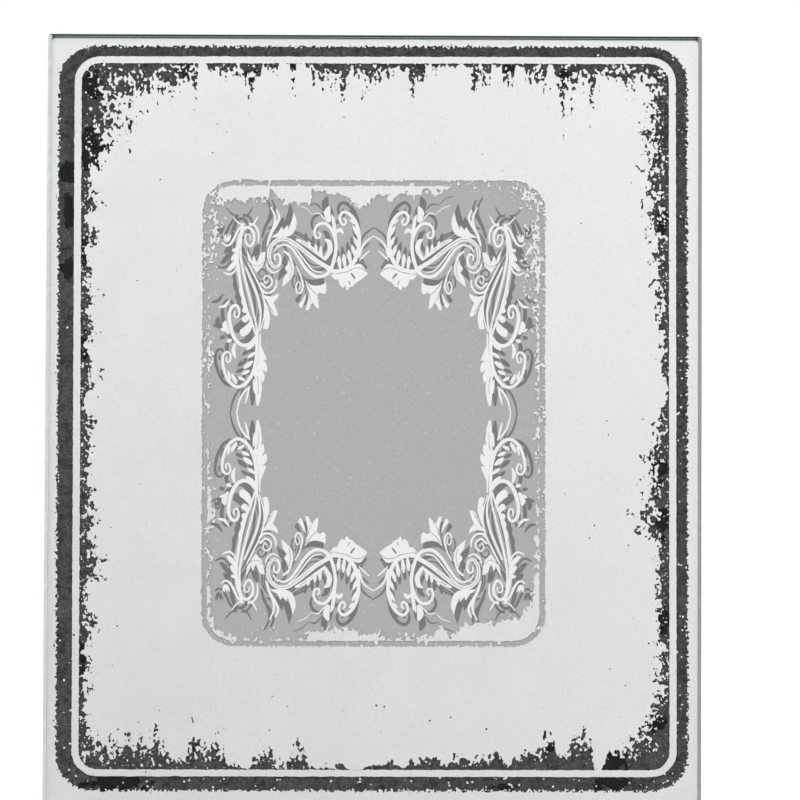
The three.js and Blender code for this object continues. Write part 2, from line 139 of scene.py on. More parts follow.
LEFT_WEAR = [
    (-129, 10), (-122, 9), (-119, 7), (-115, 5), (-111, 4), (-108, 2.7), (-104, 2.7), (-100, 4.2),
    (-97, 3.7), (-89.6, 4.2), (-86, 2.5), (-82, 5.2), (-78.6, 6.3), (-75, 6.3), (-71.4, 4.2), (-67.7, 3.6),
    (-64, 2), (-60.4, 7.5), (-56.7, 8.5), (-53, 8), (-49.4, 6.3), (-45.7, 4.8), (-34.7, 6.3), (-31, 4.6),
    (-27.4, 4.2), (-23.8, 4.2), (-20, 3), (-16.4, 4.6), (-9, 5), (-5.5, 5.2), (0, 4.6), (4.8, 2), (7.3, 3),
    (11, 5.2), (15.7, 6.4), (20, 4.2), (23, 2.5), (25.6, 3), (27.4, 6.3), (31, 6.3), (34.8, 4.2),
    (38.4, 3.6), (43, 5.2), (45.7, 5.2), (49.4, 3.6), (53, 5.2), (56.7, 2), (60.4, 3), (62.2, 5.2),
    (65.9, 7.4), (69.5, 3), (73.2, 2), (75, 6.7), (78.6, 6.7), (82.4, 5.2), (86, 3), (89.6, 5.2),
    (93.3, 8), (97, 10.5), (100.6, 11), (102.5, 13), (108, 15), (115, 16), (129, 17),
]
# Width of the film that is left inside the window's line, as (place along the side, width)
TOP_RING = [
    (-60, 2), (-54, 6), (-50, 4.8), (-45, 6), (-43.3, 4.2), (-39, 6), (-37, 5), (-36, 0.8), (-34.4, 4),
    (-31.8, 6), (-22.6, 6.8), (-21.4, 2.2), (-16, 2.4), (-13, 3.8), (-10, 3.6), (-8, 6.4), (-5, 8.2),
    (-2, 6.6), (1.6, 2.8), (4, 4.4), (6.8, 4.4), (9, 3), (13.6, 3.4), (16.2, 2.6), (18.6, 0), (21.3, 4),
    (23, 2), (26.4, 0.6), (28, -1), (44, -1), (60, 1.5),
]
RIGHT_RING = [
    (-85, 11), (-76, 8.5), (-72, 5), (-69, 2.6), (-60, 1.6), (-40, 0.3), (42, 0.3), (50, 0.6), (75, 0.8),
    (85, 0.4),
]
BOTTOM_RING = [
    (-60, 1.5), (-50, 1.2), (-44, 0.2), (-25, 0.3), (-21.5, 3), (-17, 4.2), (-9, 4), (-5, 2.4), (3, 2),
    (5, 0.2), (7, 0.2), (8, 1.3), (14, 1.3), (15, 0.4), (17, 2), (21, 2.6), (24, 5.2), (26.4, 1.4),
    (29, 4), (34, 6.5), (41, 6.2), (49, 8.6), (60, 10),
]
LEFT_RING = [
    (-85, 1.4), (-70, 1.2), (-58, 0.6), (-48, 0.2), (-43, 0.5), (-35, 1.9), (-29, 1.7), (-18, 0),
    (-12, -0.6), (10, -0.6), (16, 1), (28, 1), (34, -0.6), (70, -0.6), (85, 0.5),
]
# Places in the window with flecks of film, as (x, z, half width, half height, share)
FLECK_SPOTS = [
    (-57, 64, 6, 17, 2.2), (-52, 80, 9, 5, 1.4), (52, 80, 9, 5, 1.5), (56, 56, 5, 24, 2.3),
    (57, -15, 2.5, 40, 0.9), (-57, -55, 2.5, 26, 1.1), (-57, 20, 2.5, 14, 1.2), (8, 80, 14, 3, 1.0),
    (-34, -80, 12, 3, 1.2),
]

# Blots of black paint behind the film, as (x, z, half width, half height) from the pattern's middle
BLOTS = [
    (-90, -133.2, 10, 2.9), (82.6, -133, 5.4, 2.8), (45.3, -134.4, 4.5, 1.2), (-107.3, 88, 2.6, 4.8),
    (-106.9, 74, 1.7, 6), (-107, 53.3, 2.3, 3.8), (-99.2, 120.2, 3.4, 5.4), (-99, 97.5, 4.6, 8),
    (-66, 124.9, 2.8, 3.6), (-42.8, 123.4, 2.9, 2.4), (-29.4, 123.4, 1.4, 4.8), (46.7, 126.7, 1.9, 1.9),
    (65.9, 123.4, 1.9, 2.8), (100, 70.8, 2, 5), (99, -20, 2.6, 5), (100.4, -38, 2, 6),
    (100.4, -73.8, 2.7, 4.8), (95.8, -110.8, 4.4, 3.8), (82.6, -124.6, 4.8, 4.2), (60, -118, 2.2, 3.6),
    (-62.3, -120.3, 2, 1.6), (-101.7, -86, 1.8, 3.6), (-101.9, -92.7, 1.5, 2.2), (-101.5, 25, 1.6, 4),
    (-101.5, 60, 1.6, 5),
]


# Fields and outlines

NOISE_TABLE = 512
NOISE_SPREAD = 0.28
FILL_TOLERANCE = 1e-6
LEAST_LOOP = 6


def gradient_noise(x, z, seed):
    """Smooth noise with one cell to a unit."""
    angle = np.random.default_rng(seed).uniform(0, 2 * math.pi, (NOISE_TABLE, NOISE_TABLE))
    slope_x = np.cos(angle)
    slope_z = np.sin(angle)
    cell_x = np.floor(x).astype(int)
    cell_z = np.floor(z).astype(int)
    in_x = x - cell_x
    in_z = z - cell_z
    ease_x = in_x**3 * (in_x * (in_x * 6 - 15) + 10)
    ease_z = in_z**3 * (in_z * (in_z * 6 - 15) + 10)

    def corner(step_x, step_z):
        a = (cell_x + step_x) % NOISE_TABLE
        b = (cell_z + step_z) % NOISE_TABLE
        return slope_x[a, b] * (in_x - step_x) + slope_z[a, b] * (in_z - step_z)

    below = corner(0, 0) * (1 - ease_x) + corner(1, 0) * ease_x
    above = corner(0, 1) * (1 - ease_x) + corner(1, 1) * ease_x
    return below * (1 - ease_z) + above * ease_z


def layered_noise(x, z, cells, weights, seed):
    """Noise of several cell sizes, scaled to a spread of about one."""
    spread = NOISE_SPREAD * math.sqrt(sum(weight * weight for weight in weights))
    total = 0
    for i, (cell, weight) in enumerate(zip(cells, weights)):
        total = total + weight * gradient_noise(x / cell, z / cell, seed + i)
    return total / spread


def inside_round_box(x, z, half_width, half_height, radius):
    """Distance inside a rectangle with round corners."""
    over_x = np.abs(x) - half_width + radius
    over_z = np.abs(z) - half_height + radius
    outside = np.hypot(np.maximum(over_x, 0), np.maximum(over_z, 0))
    return radius - outside - np.minimum(np.maximum(over_x, over_z), 0)


def near(xs, zs, points, reach):
    """Slices of the grid that lie within reach of the points."""
    low = np.min(points, axis=0) - reach
    high = np.max(points, axis=0) + reach
    return slice(*np.searchsorted(xs, (low[0], high[0]))), slice(*np.searchsorted(zs, (low[1], high[1])))


def put(field, part, inside, is_added):
    """Adds to a part of the field where inside is positive, or takes out of it there."""
    field[part] = np.maximum(field[part], inside) if is_added else np.minimum(field[part], -inside)


def along_side(place, knots):
    """The value of a list of (place, value) at each place."""
    places, values = zip(*knots)
    return np.interp(place, places, values)


def by_side(places, knots_of_sides, nearest):
    """The value at each place from the list of the side that is nearest to it."""
    values = np.stack([along_side(place, knots) for place, knots in zip(places, knots_of_sides)])
    return np.take_along_axis(values, nearest[None], axis=0)[0]


# For each pattern of inside corners of a cell, the sides that its outline joins, with the inside on the left
CELL_LINES = {
    1: [(0, 3)], 2: [(1, 0)], 4: [(2, 1)], 8: [(3, 2)], 3: [(1, 3)], 6: [(2, 0)], 12: [(3, 1)], 9: [(0, 2)],
    7: [(2, 3)], 14: [(3, 0)], 13: [(0, 1)], 11: [(1, 2)], 5: [(0, 3), (2, 1)], 10: [(1, 0), (3, 2)],
}


def outlines(xs, zs, field):
    """Closed lines round the places where the field is positive."""
    field = field.copy()
    field[[0, -1], :] = -1
    field[:, [0, -1]] = -1
    inside = field > 0
    count_x, count_z = field.shape
    across = (count_x - 1) * count_z
    pattern = inside[:-1, :-1] + 2 * inside[1:, :-1] + 4 * inside[1:, 1:] + 8 * inside[:-1, 1:]
    starts = []
    ends = []
    for corners, lines in CELL_LINES.items():
        i, j = np.nonzero(pattern == corners)
        sides = [
            i * count_z + j,
            across + (i + 1) * (count_z - 1) + j,
            i * count_z + j + 1,
            across + i * (count_z - 1) + j,
        ]
        for start, end in lines:
            starts.append(sides[start])
            ends.append(sides[end])
    following = dict(zip(np.concatenate(starts).tolist(), np.concatenate(ends).tolist()))

    def crossings(sides):
        sides = np.array(sides)
        lies_across = sides < across
        i = np.where(lies_across, sides // count_z, (sides - across) // (count_z - 1))
        j = np.where(lies_across, sides % count_z, (sides - across) % (count_z - 1))
        next_i = i + lies_across
        next_j = j + ~lies_across
        share = field[i, j] / (field[i, j] - field[next_i, next_j])
        x = xs[i] + share * (xs[next_i] - xs[i])
        z = zs[j] + share * (zs[next_j] - zs[j])
        return np.column_stack((x, z))

    loops = []
    while following:
        first, here = following.popitem()
        loop = [first]
        while here != first:
            loop.append(here)
            here = following.pop(here)
        loops.append(crossings(loop))
    return loops


def loop_area(loop):
    after = np.roll(loop, -1, axis=0)
    return abs(np.sum(loop[:, 0] * after[:, 1] - loop[:, 1] * after[:, 0])) / 2


def thinned(loop, tolerance):
    """The loop without the points that lie on the line between their neighbours."""
    odd = 0
    idle = 0
    while len(loop) > LEAST_LOOP and idle < 2:
        before = np.roll(loop, 1, axis=0)
        chord = np.roll(loop, -1, axis=0) - before
        offset = loop - before
        away = np.abs(chord[:, 0] * offset[:, 1] - chord[:, 1] * offset[:, 0])
        drop = away < tolerance * np.maximum(np.hypot(chord[:, 0], chord[:, 1]), FILL_TOLERANCE)
        drop[odd::2] = False
        drop[[0, -1]] = False
        idle = 0 if drop.any() else idle + 1
        odd = 1 - odd
        loop = loop[~drop]
    return loop


def filled(loops):
    """Points and triangles of the area inside the loops, with holes and islands."""
    points = [Vector(point) for loop in loops for point in loop]
    edges = []
    start = 0
    for loop in loops:
        count = len(loop)
        edges += [(start + i, start + (i + 1) % count) for i in range(count)]
        start += count
    points, edges, faces, _, sources, _ = delaunay_2d_cdt(points, edges, [], 0, FILL_TOLERANCE, True)
    walls = {frozenset(edge) for edge, source in zip(edges, sources) if source}
    sharers = {}
    for i, (a, b, c) in enumerate(faces):
        for edge in ((a, b), (b, c), (c, a)):
            sharers.setdefault(frozenset(edge), []).append(i)
    # From the rim inward, each outline that is crossed turns outside to inside or back.
    rim, first = next((edge, found[0]) for edge, found in sharers.items() if len(found) == 1)
    is_inside = {first: rim in walls}
    waiting = [first]
    while waiting:
        here = waiting.pop()
        a, b, c = faces[here]
        for edge in (frozenset((a, b)), frozenset((b, c)), frozenset((c, a))):
            for there in sharers[edge]:
                if there not in is_inside:
                    is_inside[there] = is_inside[here] != (edge in walls)
                    waiting.append(there)
    kept = [face for i, face in enumerate(faces) if is_inside[i]]
    return np.array([tuple(point) for point in points]), kept


# Pieces

WELD = 1e-6
FLAT_ANGLE = math.radians(1)
EDGE_ANGLE = math.radians(40)
SHARP_ANGLE = math.radians(20)
# Share of a normal along the main direction over which a face is flat on, and under which it is a side
FLAT_ON = 0.99
NARROW_SIDE = 0.5
RIM_CREASE = 0.8
SMOOTHING_LEVELS = 2


def to_plate(points, turn=PATTERN_TILT):
    """Points from the middle of the plate, turned as the pattern is, as x and rise."""
    c = math.cos(turn)
    s = math.sin(turn)
    x = points[:, 0] * c - points[:, 1] * s
    z = points[:, 0] * s + points[:, 1] * c
    return np.column_stack((x, z + PLATE_MIDDLE))


def in_scene(name, data):
    made = bpy.data.objects.new(name, data)
    bpy.context.scene.collection.objects.link(made)
    return made


def piece_of(mesh, materials, stands_for=(), body="frame"):
    """A finished piece that rides on a body."""
    piece = in_scene(mesh.name, mesh)
    for material in materials:
        mesh.materials.append(material)
    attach(piece, body)
    if stands_for:
        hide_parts(*stands_for)
    return piece


def plate_corner(work, x, depth, rise):
    return work.verts.new(TO_WORLD @ Vector((x, depth, rise)))


def mesh_of(work, name):
    """The mesh of a worked shape, which is freed."""
    mesh = bpy.data.meshes.new(name)
    work.to_mesh(mesh)
    work.free()
    return mesh


def flat_mesh(name, points, faces, front, rear):
    """A thin solid between two depths, from points in x and rise."""
    work = bmesh.new()
    corners = [plate_corner(work, x, front, rise) for x, rise in points]
    for face in faces:
        work.faces.new([corners[i] for i in face])
    grown = bmesh.ops.extrude_face_region(work, geom=work.faces[:])
    moved = [item for item in grown["geom"] if isinstance(item, bmesh.types.BMVert)]
    bmesh.ops.translate(work, vec=REAR * ((rear - front) * MM), verts=moved)
    bmesh.ops.recalc_face_normals(work, faces=work.faces[:])
    return mesh_of(work, name)


def join_loops(work, loops):
    """Faces between neighbouring loops of corners, and a face over each end."""
    for a, b in zip(loops, loops[1:]):
        for i in range(len(a)):
            j = (i + 1) % len(a)
            work.faces.new((a[i], a[j], b[j], b[i]))
    work.faces.new(loops[0])
    work.faces.new(loops[-1])
    bmesh.ops.recalc_face_normals(work, faces=work.faces[:])


def clean_copy(node):
    """A copy of a CAD node without the edges inside its flat faces."""
    work = bmesh.new()
    work.from_mesh(frame["nodes"][node].data)
    bmesh.ops.remove_doubles(work, verts=work.verts[:], dist=WELD)
    bmesh.ops.dissolve_limit(work, angle_limit=FLAT_ANGLE, verts=work.verts[:], edges=work.edges[:])
    return work


def sharp_edges(work):
    return [edge for edge in work.edges if edge.is_manifold and edge.calc_face_angle() > EDGE_ANGLE]


def stand_in(node, work, materials):
    """The piece that a worked copy of a CAD node makes, which stands for the node."""
    mesh = mesh_of(work, "shaped_" + node)
    mesh.shade_smooth()
    return piece_of(mesh, materials, [node], BODY_OF[node])


def softened(node, bevel, *materials):
    """A CAD node with softened edges. A second material goes on its narrow sides."""
    work = clean_copy(node)
    bmesh.ops.bevel(
        work, geom=sharp_edges(work), offset=bevel * MM, offset_type="OFFSET", segments=2, profile=0.5,
        affect="EDGES", clamp_overlap=True,
    )
    bmesh.ops.dissolve_degenerate(work, dist=WELD, edges=work.edges[:])
    if len(materials) > 1:
        main = max(work.faces, key=lambda face: face.calc_area()).normal.copy()
        for face in work.faces:
            face.material_index = int(abs(face.normal.dot(main)) < NARROW_SIDE)
    stand_in(node, work, materials).data.set_sharp_from_angle(angle=SHARP_ANGLE)


def rounded(node, material):
    """A turned CAD node, smoothed by subdivision with its rims kept."""
    work = clean_copy(node)
    crease = work.edges.layers.float.new("crease_edge")
    for edge in sharp_edges(work):
        edge[crease] = RIM_CREASE
    smoothing = stand_in(node, work, [material]).modifiers.new("smoothing", "SUBSURF")
    smoothing.levels = SMOOTHING_LEVELS
    smoothing.render_levels = SMOOTHING_LEVELS


# Materials

def feed(tree, socket, value):
    """Links the socket to an output, or sets it to a plain value."""
    if isinstance(value, bpy.types.NodeSocket):
        tree.links.new(value, socket)
    else:
        socket.default_value = value


def add_node(tree, kind, inputs=(), **settings):
    made = tree.nodes.new("ShaderNode" + kind)
    for name, value in settings.items():
        setattr(made, name, value)
    for socket, value in dict(inputs).items():
        feed(tree, made.inputs[socket], value)
    return made


def new_material(name, **inputs):
    """A material with its shader's sockets set by name, underscores for spaces."""
    material = bpy.data.materials.new(name)
    material.use_nodes = True
    shader = material.node_tree.nodes["Principled BSDF"]
    for socket, value in inputs.items():
        feed(material.node_tree, shader.inputs[socket.replace("_", " ")], value)
    return material, material.node_tree, shader


def object_place(tree, stretch=(1, 1, 1)):
    """Object coordinates in millimetres, stretched."""
    place = add_node(tree, "TexCoord").outputs["Object"]
    scale = tuple(1 / MM / share for share in stretch)
    return add_node(tree, "Mapping", {"Vector": place, "Scale": scale}).outputs["Vector"]


def noise(tree, cell, detail=3, rough=0.55, stretch=(1, 1, 1)):
    """Noise with cells of about that many millimetres, 0 to 1."""
    inputs = {
        "Vector": object_place(tree, stretch), "Scale": 1 / cell, "Detail": detail, "Roughness": rough,
    }
    return add_node(tree, "TexNoise", inputs).outputs["Fac"]


def ramp(tree, factor, stops):
    """A colour ramp from (place, grey or colour) stops."""
    made = add_node(tree, "ValToRGB", {"Fac": factor})
    elements = made.color_ramp.elements
    while len(elements) < len(stops):
        elements.new(0.5)
    for element, (place, value) in zip(elements, stops):
        element.position = place
        colour = value if isinstance(value, tuple) else (value,) * 3
        element.color = (*colour, 1)
    return made.outputs["Color"]


def span(tree, factor, low, high, from_low=0.3, from_high=0.7):
    """The factor mapped to another range."""
    inputs = {"Value": factor, "From Min": from_low, "From Max": from_high, "To Min": low, "To Max": high}
    return add_node(tree, "MapRange", inputs).outputs["Result"]


def mixed(tree, factor, a, b, blend="MIX"):
    """Two colours mixed. The node's colour sockets share their names, so they go by number."""
    made = add_node(tree, "Mix", data_type="RGBA", blend_type=blend, inputs={0: factor, 6: a, 7: b})
    return made.outputs[2]


def multiplied(tree, colour, *others):
    for other in others:
        colour = mixed(tree, 1.0, colour, other, "MULTIPLY")
    return colour


def any_ray(tree, first, *others):
    """One for rays of these kinds, zero for the rest."""
    path = add_node(tree, "LightPath")
    found = path.outputs[f"Is {first} Ray"]
    for kind in others:
        inputs = {0: found, 1: path.outputs[f"Is {kind} Ray"]}
        found = add_node(tree, "Math", inputs, operation="MAXIMUM").outputs[0]
    return found


def dress(tree, shader, colour, roughness=None, relief=None, height=0.0, strength=1.0):
    """Gives a shader its colour, its roughness and a relief of so many millimetres."""
    feed(tree, shader.inputs["Base Color"], colour)
    if roughness is not None:
        feed(tree, shader.inputs["Roughness"], roughness)
    if relief is not None:
        inputs = {"Height": relief, "Distance": height * MM, "Strength": strength}
        feed(tree, shader.inputs["Normal"], add_node(tree, "Bump", inputs).outputs["Normal"])


def grained(name, grain, stops, roughness, height, **inputs):
    """A material whose colour, roughness and relief follow one noise."""
    material, tree, shader = new_material(name, **inputs)
    grains = noise(tree, *grain)
    dress(tree, shader, ramp(tree, grains, stops), span(tree, grains, *roughness), grains, height)
    return material


def clear_glass():
    material, tree, shader = new_material(
        "clear_glass", Base_Color=(0.985, 0.995, 0.99, 1), Transmission_Weight=1.0, IOR=1.5,
        Specular_Tint=(0.1, 0.105, 0.1, 1),
    )
    smudges = noise(tree, 26, 5)
    feed(tree, shader.inputs["Roughness"], span(tree, smudges, 0.0, 0.03))
    # Lamps and diffuse light pass straight through, so that the insert behind is lit as it is in air.
    clear = add_node(tree, "BsdfTransparent").outputs["BSDF"]
    inputs = {"Fac": any_ray(tree, "Shadow", "Diffuse"), 1: shader.outputs["BSDF"], 2: clear}
    both = add_node(tree, "MixShader", inputs).outputs["Shader"]
    feed(tree, tree.nodes["Material Output"].inputs["Surface"], both)
    return material


def glass_edge_with_painted_light(name, tone, gloss):
    """Ground edge of the glass, with the streaks that the grinding leaves, on a tone of painted light and
    shade that stands for the light its side refracts and reflects.
    """
    material, tree, shader = new_material(
        name, Specular_IOR_Level=0.5 * gloss, Coat_Weight=0.3 * gloss, Coat_Roughness=0.25,
    )
    grind = noise(tree, 0.7, 4, 0.6, (12, 1, 12))
    stops = [(0.3, 0.86), (0.55, 1.0), (0.8, 1.18)]
    # The tone is painted light and shade for this side of the glass, and the grinding streaks vary it.
    colour = ramp(tree, grind, [(place, tuple(part * share for part in tone)) for place, share in stops])
    dress(tree, shader, colour, span(tree, noise(tree, 0.4), 0.25, 0.55), noise(tree, 0.35), 0.03)
    return material


def silver():
    material, tree, shader = new_material("antique_silver", Metallic=1.0)
    grain = noise(tree, 0.7, 2)
    tone = ramp(tree, noise(tree, 60, 4), [(0.3, (0.895, 0.905, 0.893)), (0.7, (0.92, 0.93, 0.918))])
    speckle = ramp(tree, grain, [(0.25, 0.93), (0.5, 1.0)])
    roughness = span(tree, noise(tree, 14, 5), 0.18, 0.22)
    dress(tree, shader, multiplied(tree, tone, speckle), roughness, grain, 0.004)
    return material


def mirror_paint():
    """Paint that protects the film from the rear."""
    material, tree, shader = new_material("mirror_back_paint", Specular_IOR_Level=0.3)
    mottle = noise(tree, 2.5, 4)
    tone = ramp(tree, mottle, [(0.3, (0.034, 0.036, 0.039)), (0.7, (0.056, 0.058, 0.062))])
    dress(tree, shader, tone, span(tree, mottle, 0.45, 0.65), noise(tree, 0.6), 0.01)
    return material


def black_paper():
    material, tree, shader = new_material("black_backing_paper", Specular_IOR_Level=0.2)
    mottle = noise(tree, 3.6, 5, 0.65)
    grain = noise(tree, 0.7, 3, 0.6)
    dark = (0.02, 0.022, 0.024)
    middle = (0.056, 0.06, 0.063)
    pale = (0.084, 0.088, 0.092)
    tone = ramp(tree, mottle, [(0.33, dark), (0.48, middle), (0.75, pale)])
    specks = ramp(tree, grain, [(0.35, 0.5), (0.5, 1.0), (0.65, 1.5)])
    # Dried puddles leave a thin dark rim.
    tides = ramp(tree, noise(tree, 8, 2), [(0.5, 1.0), (0.525, 0.45), (0.54, 1.0), (0.6, 0.85)])
    dress(tree, shader, multiplied(tree, tone, specks, tides), span(tree, mottle, 0.6, 0.85), grain, 0.02)
    return material


def black_paint():
    material, tree, shader = new_material("black_paint", Specular_IOR_Level=0.15)
    tone = ramp(tree, noise(tree, 1.6, 4), [(0.4, (0.002, 0.0022, 0.0025)), (0.75, (0.01, 0.011, 0.012))])
    dress(tree, shader, tone, span(tree, noise(tree, 2), 0.5, 0.75))
    return material


def print_paper(name, tone, flecks):
    """Satin paper of one printed tone, with a faint fibre and pale flecks."""
    material, tree, shader = new_material(name, Specular_IOR_Level=0.3)
    fibre = noise(tree, 0.5, 4, 0.6)
    shade = ramp(tree, fibre, [(0.3, tone * 0.95), (0.7, tone * 1.04)])
    if flecks:
        spot = ramp(tree, noise(tree, 0.8, 2, 0.5), [(0.62, 0.0), (0.7, flecks)])
        pale = min(0.85, tone * 1.6)
        shade = mixed(tree, spot, shade, (pale, pale, pale, 1))
    dress(tree, shader, shade, span(tree, fibre, 0.45, 0.65), fibre, 0.01)
    return material


def grey_card():
    stops = [(0.3, (0.2, 0.19, 0.165)), (0.7, (0.31, 0.3, 0.265))]
    return grained("grey_card", (0.6, 5, 0.65, (2, 1, 1)), stops, (0.75, 0.95), 0.04, Specular_IOR_Level=0.2)


def velvet():
    material, tree, shader = new_material(
        "black_velvet", Roughness=0.92, Specular_IOR_Level=0.15, Sheen_Weight=0.28, Sheen_Roughness=0.35,
        Sheen_Tint=(0.6, 0.6, 0.64, 1),
    )
    pile = noise(tree, 0.55, 4, 0.7)
    tone = ramp(tree, noise(tree, 22, 4, 0.6), [(0.3, (0.012, 0.012, 0.013)), (0.7, (0.024, 0.024, 0.026))])
    tufts = ramp(tree, pile, [(0.3, 0.4), (0.5, 1.0), (0.7, 1.9)])
    dress(tree, shader, multiplied(tree, tone, tufts), relief=pile, height=0.15, strength=0.9)
    return material


def fibreboard_edge():
    """Cut side of the board under its velvet paper."""
    stops = [(0.3, (0.04, 0.025, 0.015)), (0.55, (0.1, 0.064, 0.038)), (0.75, (0.16, 0.11, 0.07))]
    return grained(
        "fibreboard_edge", (0.5, 5, 0.7, (3, 1, 3)), stops, (0.75, 0.95), 0.06, Specular_IOR_Level=0.2,
    )


def zinc_steel():
    material, tree, shader = new_material("zinc_sheet_steel", Metallic=1.0)
    streaks = noise(tree, 0.45, 4, 0.6, (20, 1, 1))
    tone = ramp(tree, noise(tree, 9, 3), [(0.3, (0.52, 0.53, 0.55)), (0.7, (0.6, 0.61, 0.62))])
    brushed = ramp(tree, streaks, [(0.3, 0.82), (0.5, 1.0), (0.7, 1.12)])
    dress(tree, shader, multiplied(tree, tone, brushed), span(tree, streaks, 0.26, 0.46), streaks, 0.008)
    return material


def nickel():
    stops = [(0.3, (0.58, 0.56, 0.53)), (0.7, (0.71, 0.69, 0.66))]
    return grained("nickel_plate", (0.9, 4), stops, (0.14, 0.34), 0.01, Metallic=1.0)


def satin_ribbon():
    material, tree, shader = new_material(
        "black_satin_ribbon", Specular_IOR_Level=0.45, Sheen_Weight=0.3, Sheen_Roughness=0.4,
        Sheen_Tint=(0.7, 0.7, 0.75, 1),
    )
    weave = []
    for direction, scale, distortion, detail in (("Y", 0.75, 0.6, 2), ("X", 1.1, 0.4, 1)):
        inputs = {"Vector": object_place(tree), "Scale": scale, "Distortion": distortion, "Detail": detail}
        weave.append(add_node(tree, "TexWave", inputs, bands_direction=direction).outputs["Fac"])
    threads = mixed(tree, 0.5, *weave)
    colour = ramp(tree, threads, [(0.2, (0.012, 0.012, 0.014)), (0.8, (0.05, 0.05, 0.055))])
    dress(tree, shader, colour, span(tree, noise(tree, 1.5), 0.3, 0.5), threads, 0.05)
    return material


# Glass plate with ground edges

SIDE_ARRIS = 1.2
UPPER_ARRIS = 0.3
LOWER_ARRIS = 0.45
ARRIS_DEPTH = 0.6
CORNER_RADIUS = 1.3
CORNER_STEPS = 4
# Colour and gloss of the four ground edges. The colours are painted light and shade: the left edge is pale,
# the right and lower edges are mid grey and the upper edge is nearly black, by how light from the
# surroundings reaches each side.
EDGE_PAINTED_LIGHT_AND_GLOSS = {
    "left_edge": ((0.61, 0.64, 0.61), 1), "right_edge": ((0.29, 0.33, 0.31), 1),
    "upper_edge": ((0.04, 0.065, 0.053), 0), "lower_edge": ((0.2, 0.25, 0.225), 1),
}


def edge_side(normal):
    """Place in EDGE_PAINTED_LIGHT_AND_GLOSS of the side that a face looks to."""
    if abs(normal.x) > abs(normal.dot(UP)):
        return 0 if normal.x < 0 else 1
    return 2 if normal.dot(UP) > 0 else 3


def plate_outline(share):
    """Round-cornered outline of the plate, as x and rise, drawn in by a share of the arrises."""
    half = np.array((PLATE_WIDTH / 2, PLATE_HEIGHT / 2))
    points = []
    for turn, signs in enumerate(((1, 1), (-1, 1), (-1, -1), (1, -1))):
        for step in range(CORNER_STEPS + 1):
            angle = math.pi / 2 * (turn + step / CORNER_STEPS)
            middle = (half - CORNER_RADIUS) * signs
            points.append(middle + CORNER_RADIUS * np.array((math.cos(angle), math.sin(angle))))
    points = np.array(points)
    insets = [(SIDE_ARRIS, UPPER_ARRIS if z > 0 else LOWER_ARRIS) for _, z in points]
    return points * (1 - share * np.array(insets) / half) + (0, PLATE_MIDDLE)


def build_glass():
    sections = [(0, 1), (ARRIS_DEPTH, 0), (GLASS_THICKNESS - ARRIS_DEPTH, 0), (GLASS_THICKNESS, 1)]
    work = bmesh.new()
    loops = []
    for depth, share in sections:
        loops.append([plate_corner(work, x, depth, rise) for x, rise in plate_outline(share)])
    join_loops(work, loops)
    for face in work.faces:
        # Each ground side gets its own material, whose colour is painted light and shade.
        face.material_index = 0 if abs(face.normal.dot(REAR)) > FLAT_ON else 1 + edge_side(face.normal)
    edges = [glass_edge_with_painted_light("ground_painted_light_" + name, *look) for name, look in EDGE_PAINTED_LIGHT_AND_GLOSS.items()]
    piece_of(mesh_of(work, "glass_plate"), [clear_glass(), *edges], ["front_glass"])


# Silver film, etched and worn

FILM_PITCH = 0.25
FILM_SIDE_INSET = 1.0
FILM_UPPER_INSET = 0.2
FILM_LOWER_INSET = 0.35
LEAST_FLAKE = 0.04
FILM_THINNING = 0.035
# Noises, as (cell sizes in millimetres, their weights, seed)
TEETH = ((0.75, 1.7), (1.0, 0.6), 11)
WOBBLE = ((0.8, 3.0), (1.0, 0.7), 21)
CRUMBS = ((0.8, 0.5), (1.0, 0.7), 31)
LARGE_FLAKES = ((3.4, 1.5, 0.7), (0.7, 1.0, 0.75), 41)
SMALL_FLAKES = ((3.0, 1.25, 0.65), (0.8, 1.0, 0.7), 81)
STREAKS = ((1.0, 2.4), (1.0, 0.8), 71)
BLOT_EDGES = ((3.4, 1.5), (1.0, 0.6), 61)
TEETH_HEIGHT = 0.5
WOBBLE_HEIGHT = 0.08
BLOT_EDGE_HEIGHT = 0.3
# The streaks run straight up, so they follow one row of their noise.
STREAK_ROW = 0.4
STREAK_HEIGHT = 0.35
STREAK_LIMITS = (0.3, 2)
# The flakes are taller than wide. From COARSE_FROM toward the lower right corner they turn coarse, within so
# many millimetres across and down, and leave fewer crumbs.
LARGE_SQUEEZE = 0.75
SMALL_SQUEEZE = 0.72
COARSE_FROM = (-20, -95)
COARSE_WITHIN = (50, 25)
FEWER_CRUMBS = 0.35
# How steeply the worn field rises from the edge of a flake, in millimetres for a spread of the noise
FLAKE_SLOPE = 0.3
# What the large and small flakes add to the window's ring, and crumbs and small flakes to its flecks
RING_SHARES = (0.9, 0.5)
FLECK_SHARES = (0.55, 0.8)
WINDOW_TEETH = 0.3
WINDOW_WOBBLE = 2
# Level of the noise over which a fleck of film is left in the window, and at most so much in its line
FLECK_LEVEL = 2.2
LINE_FLECK_LEVEL = 0.95
WINDOW_MARGIN = 1
GRID_MARGIN = 1
SPECK_COUNT = 150
SPECK_RADII = (0.18, 0.5)
SPECK_SHRINKAGE = (0.5, 1)
SPECK_MARGIN = 6
SPECK_SEED = 5
CRUMB_TRIES = 5000
CRUMB_RADII = (0.2, 0.42)
CRUMB_SEED = 9
CRUMB_DEPTH = 0.2
# Share of the tries that leave a crumb in the middle, how it grows to the lower right, and its limits
CRUMB_SHARE = 0.3
CRUMB_GROWTH = 0.004
CRUMB_LIMITS = (0.05, 1)
DISC_REACH = 1
BLOT_GAP = 0.06
BLOT_PITCH = 0.3
BLOT_THINNING = 0.05
LEAST_BLOT = 0.3


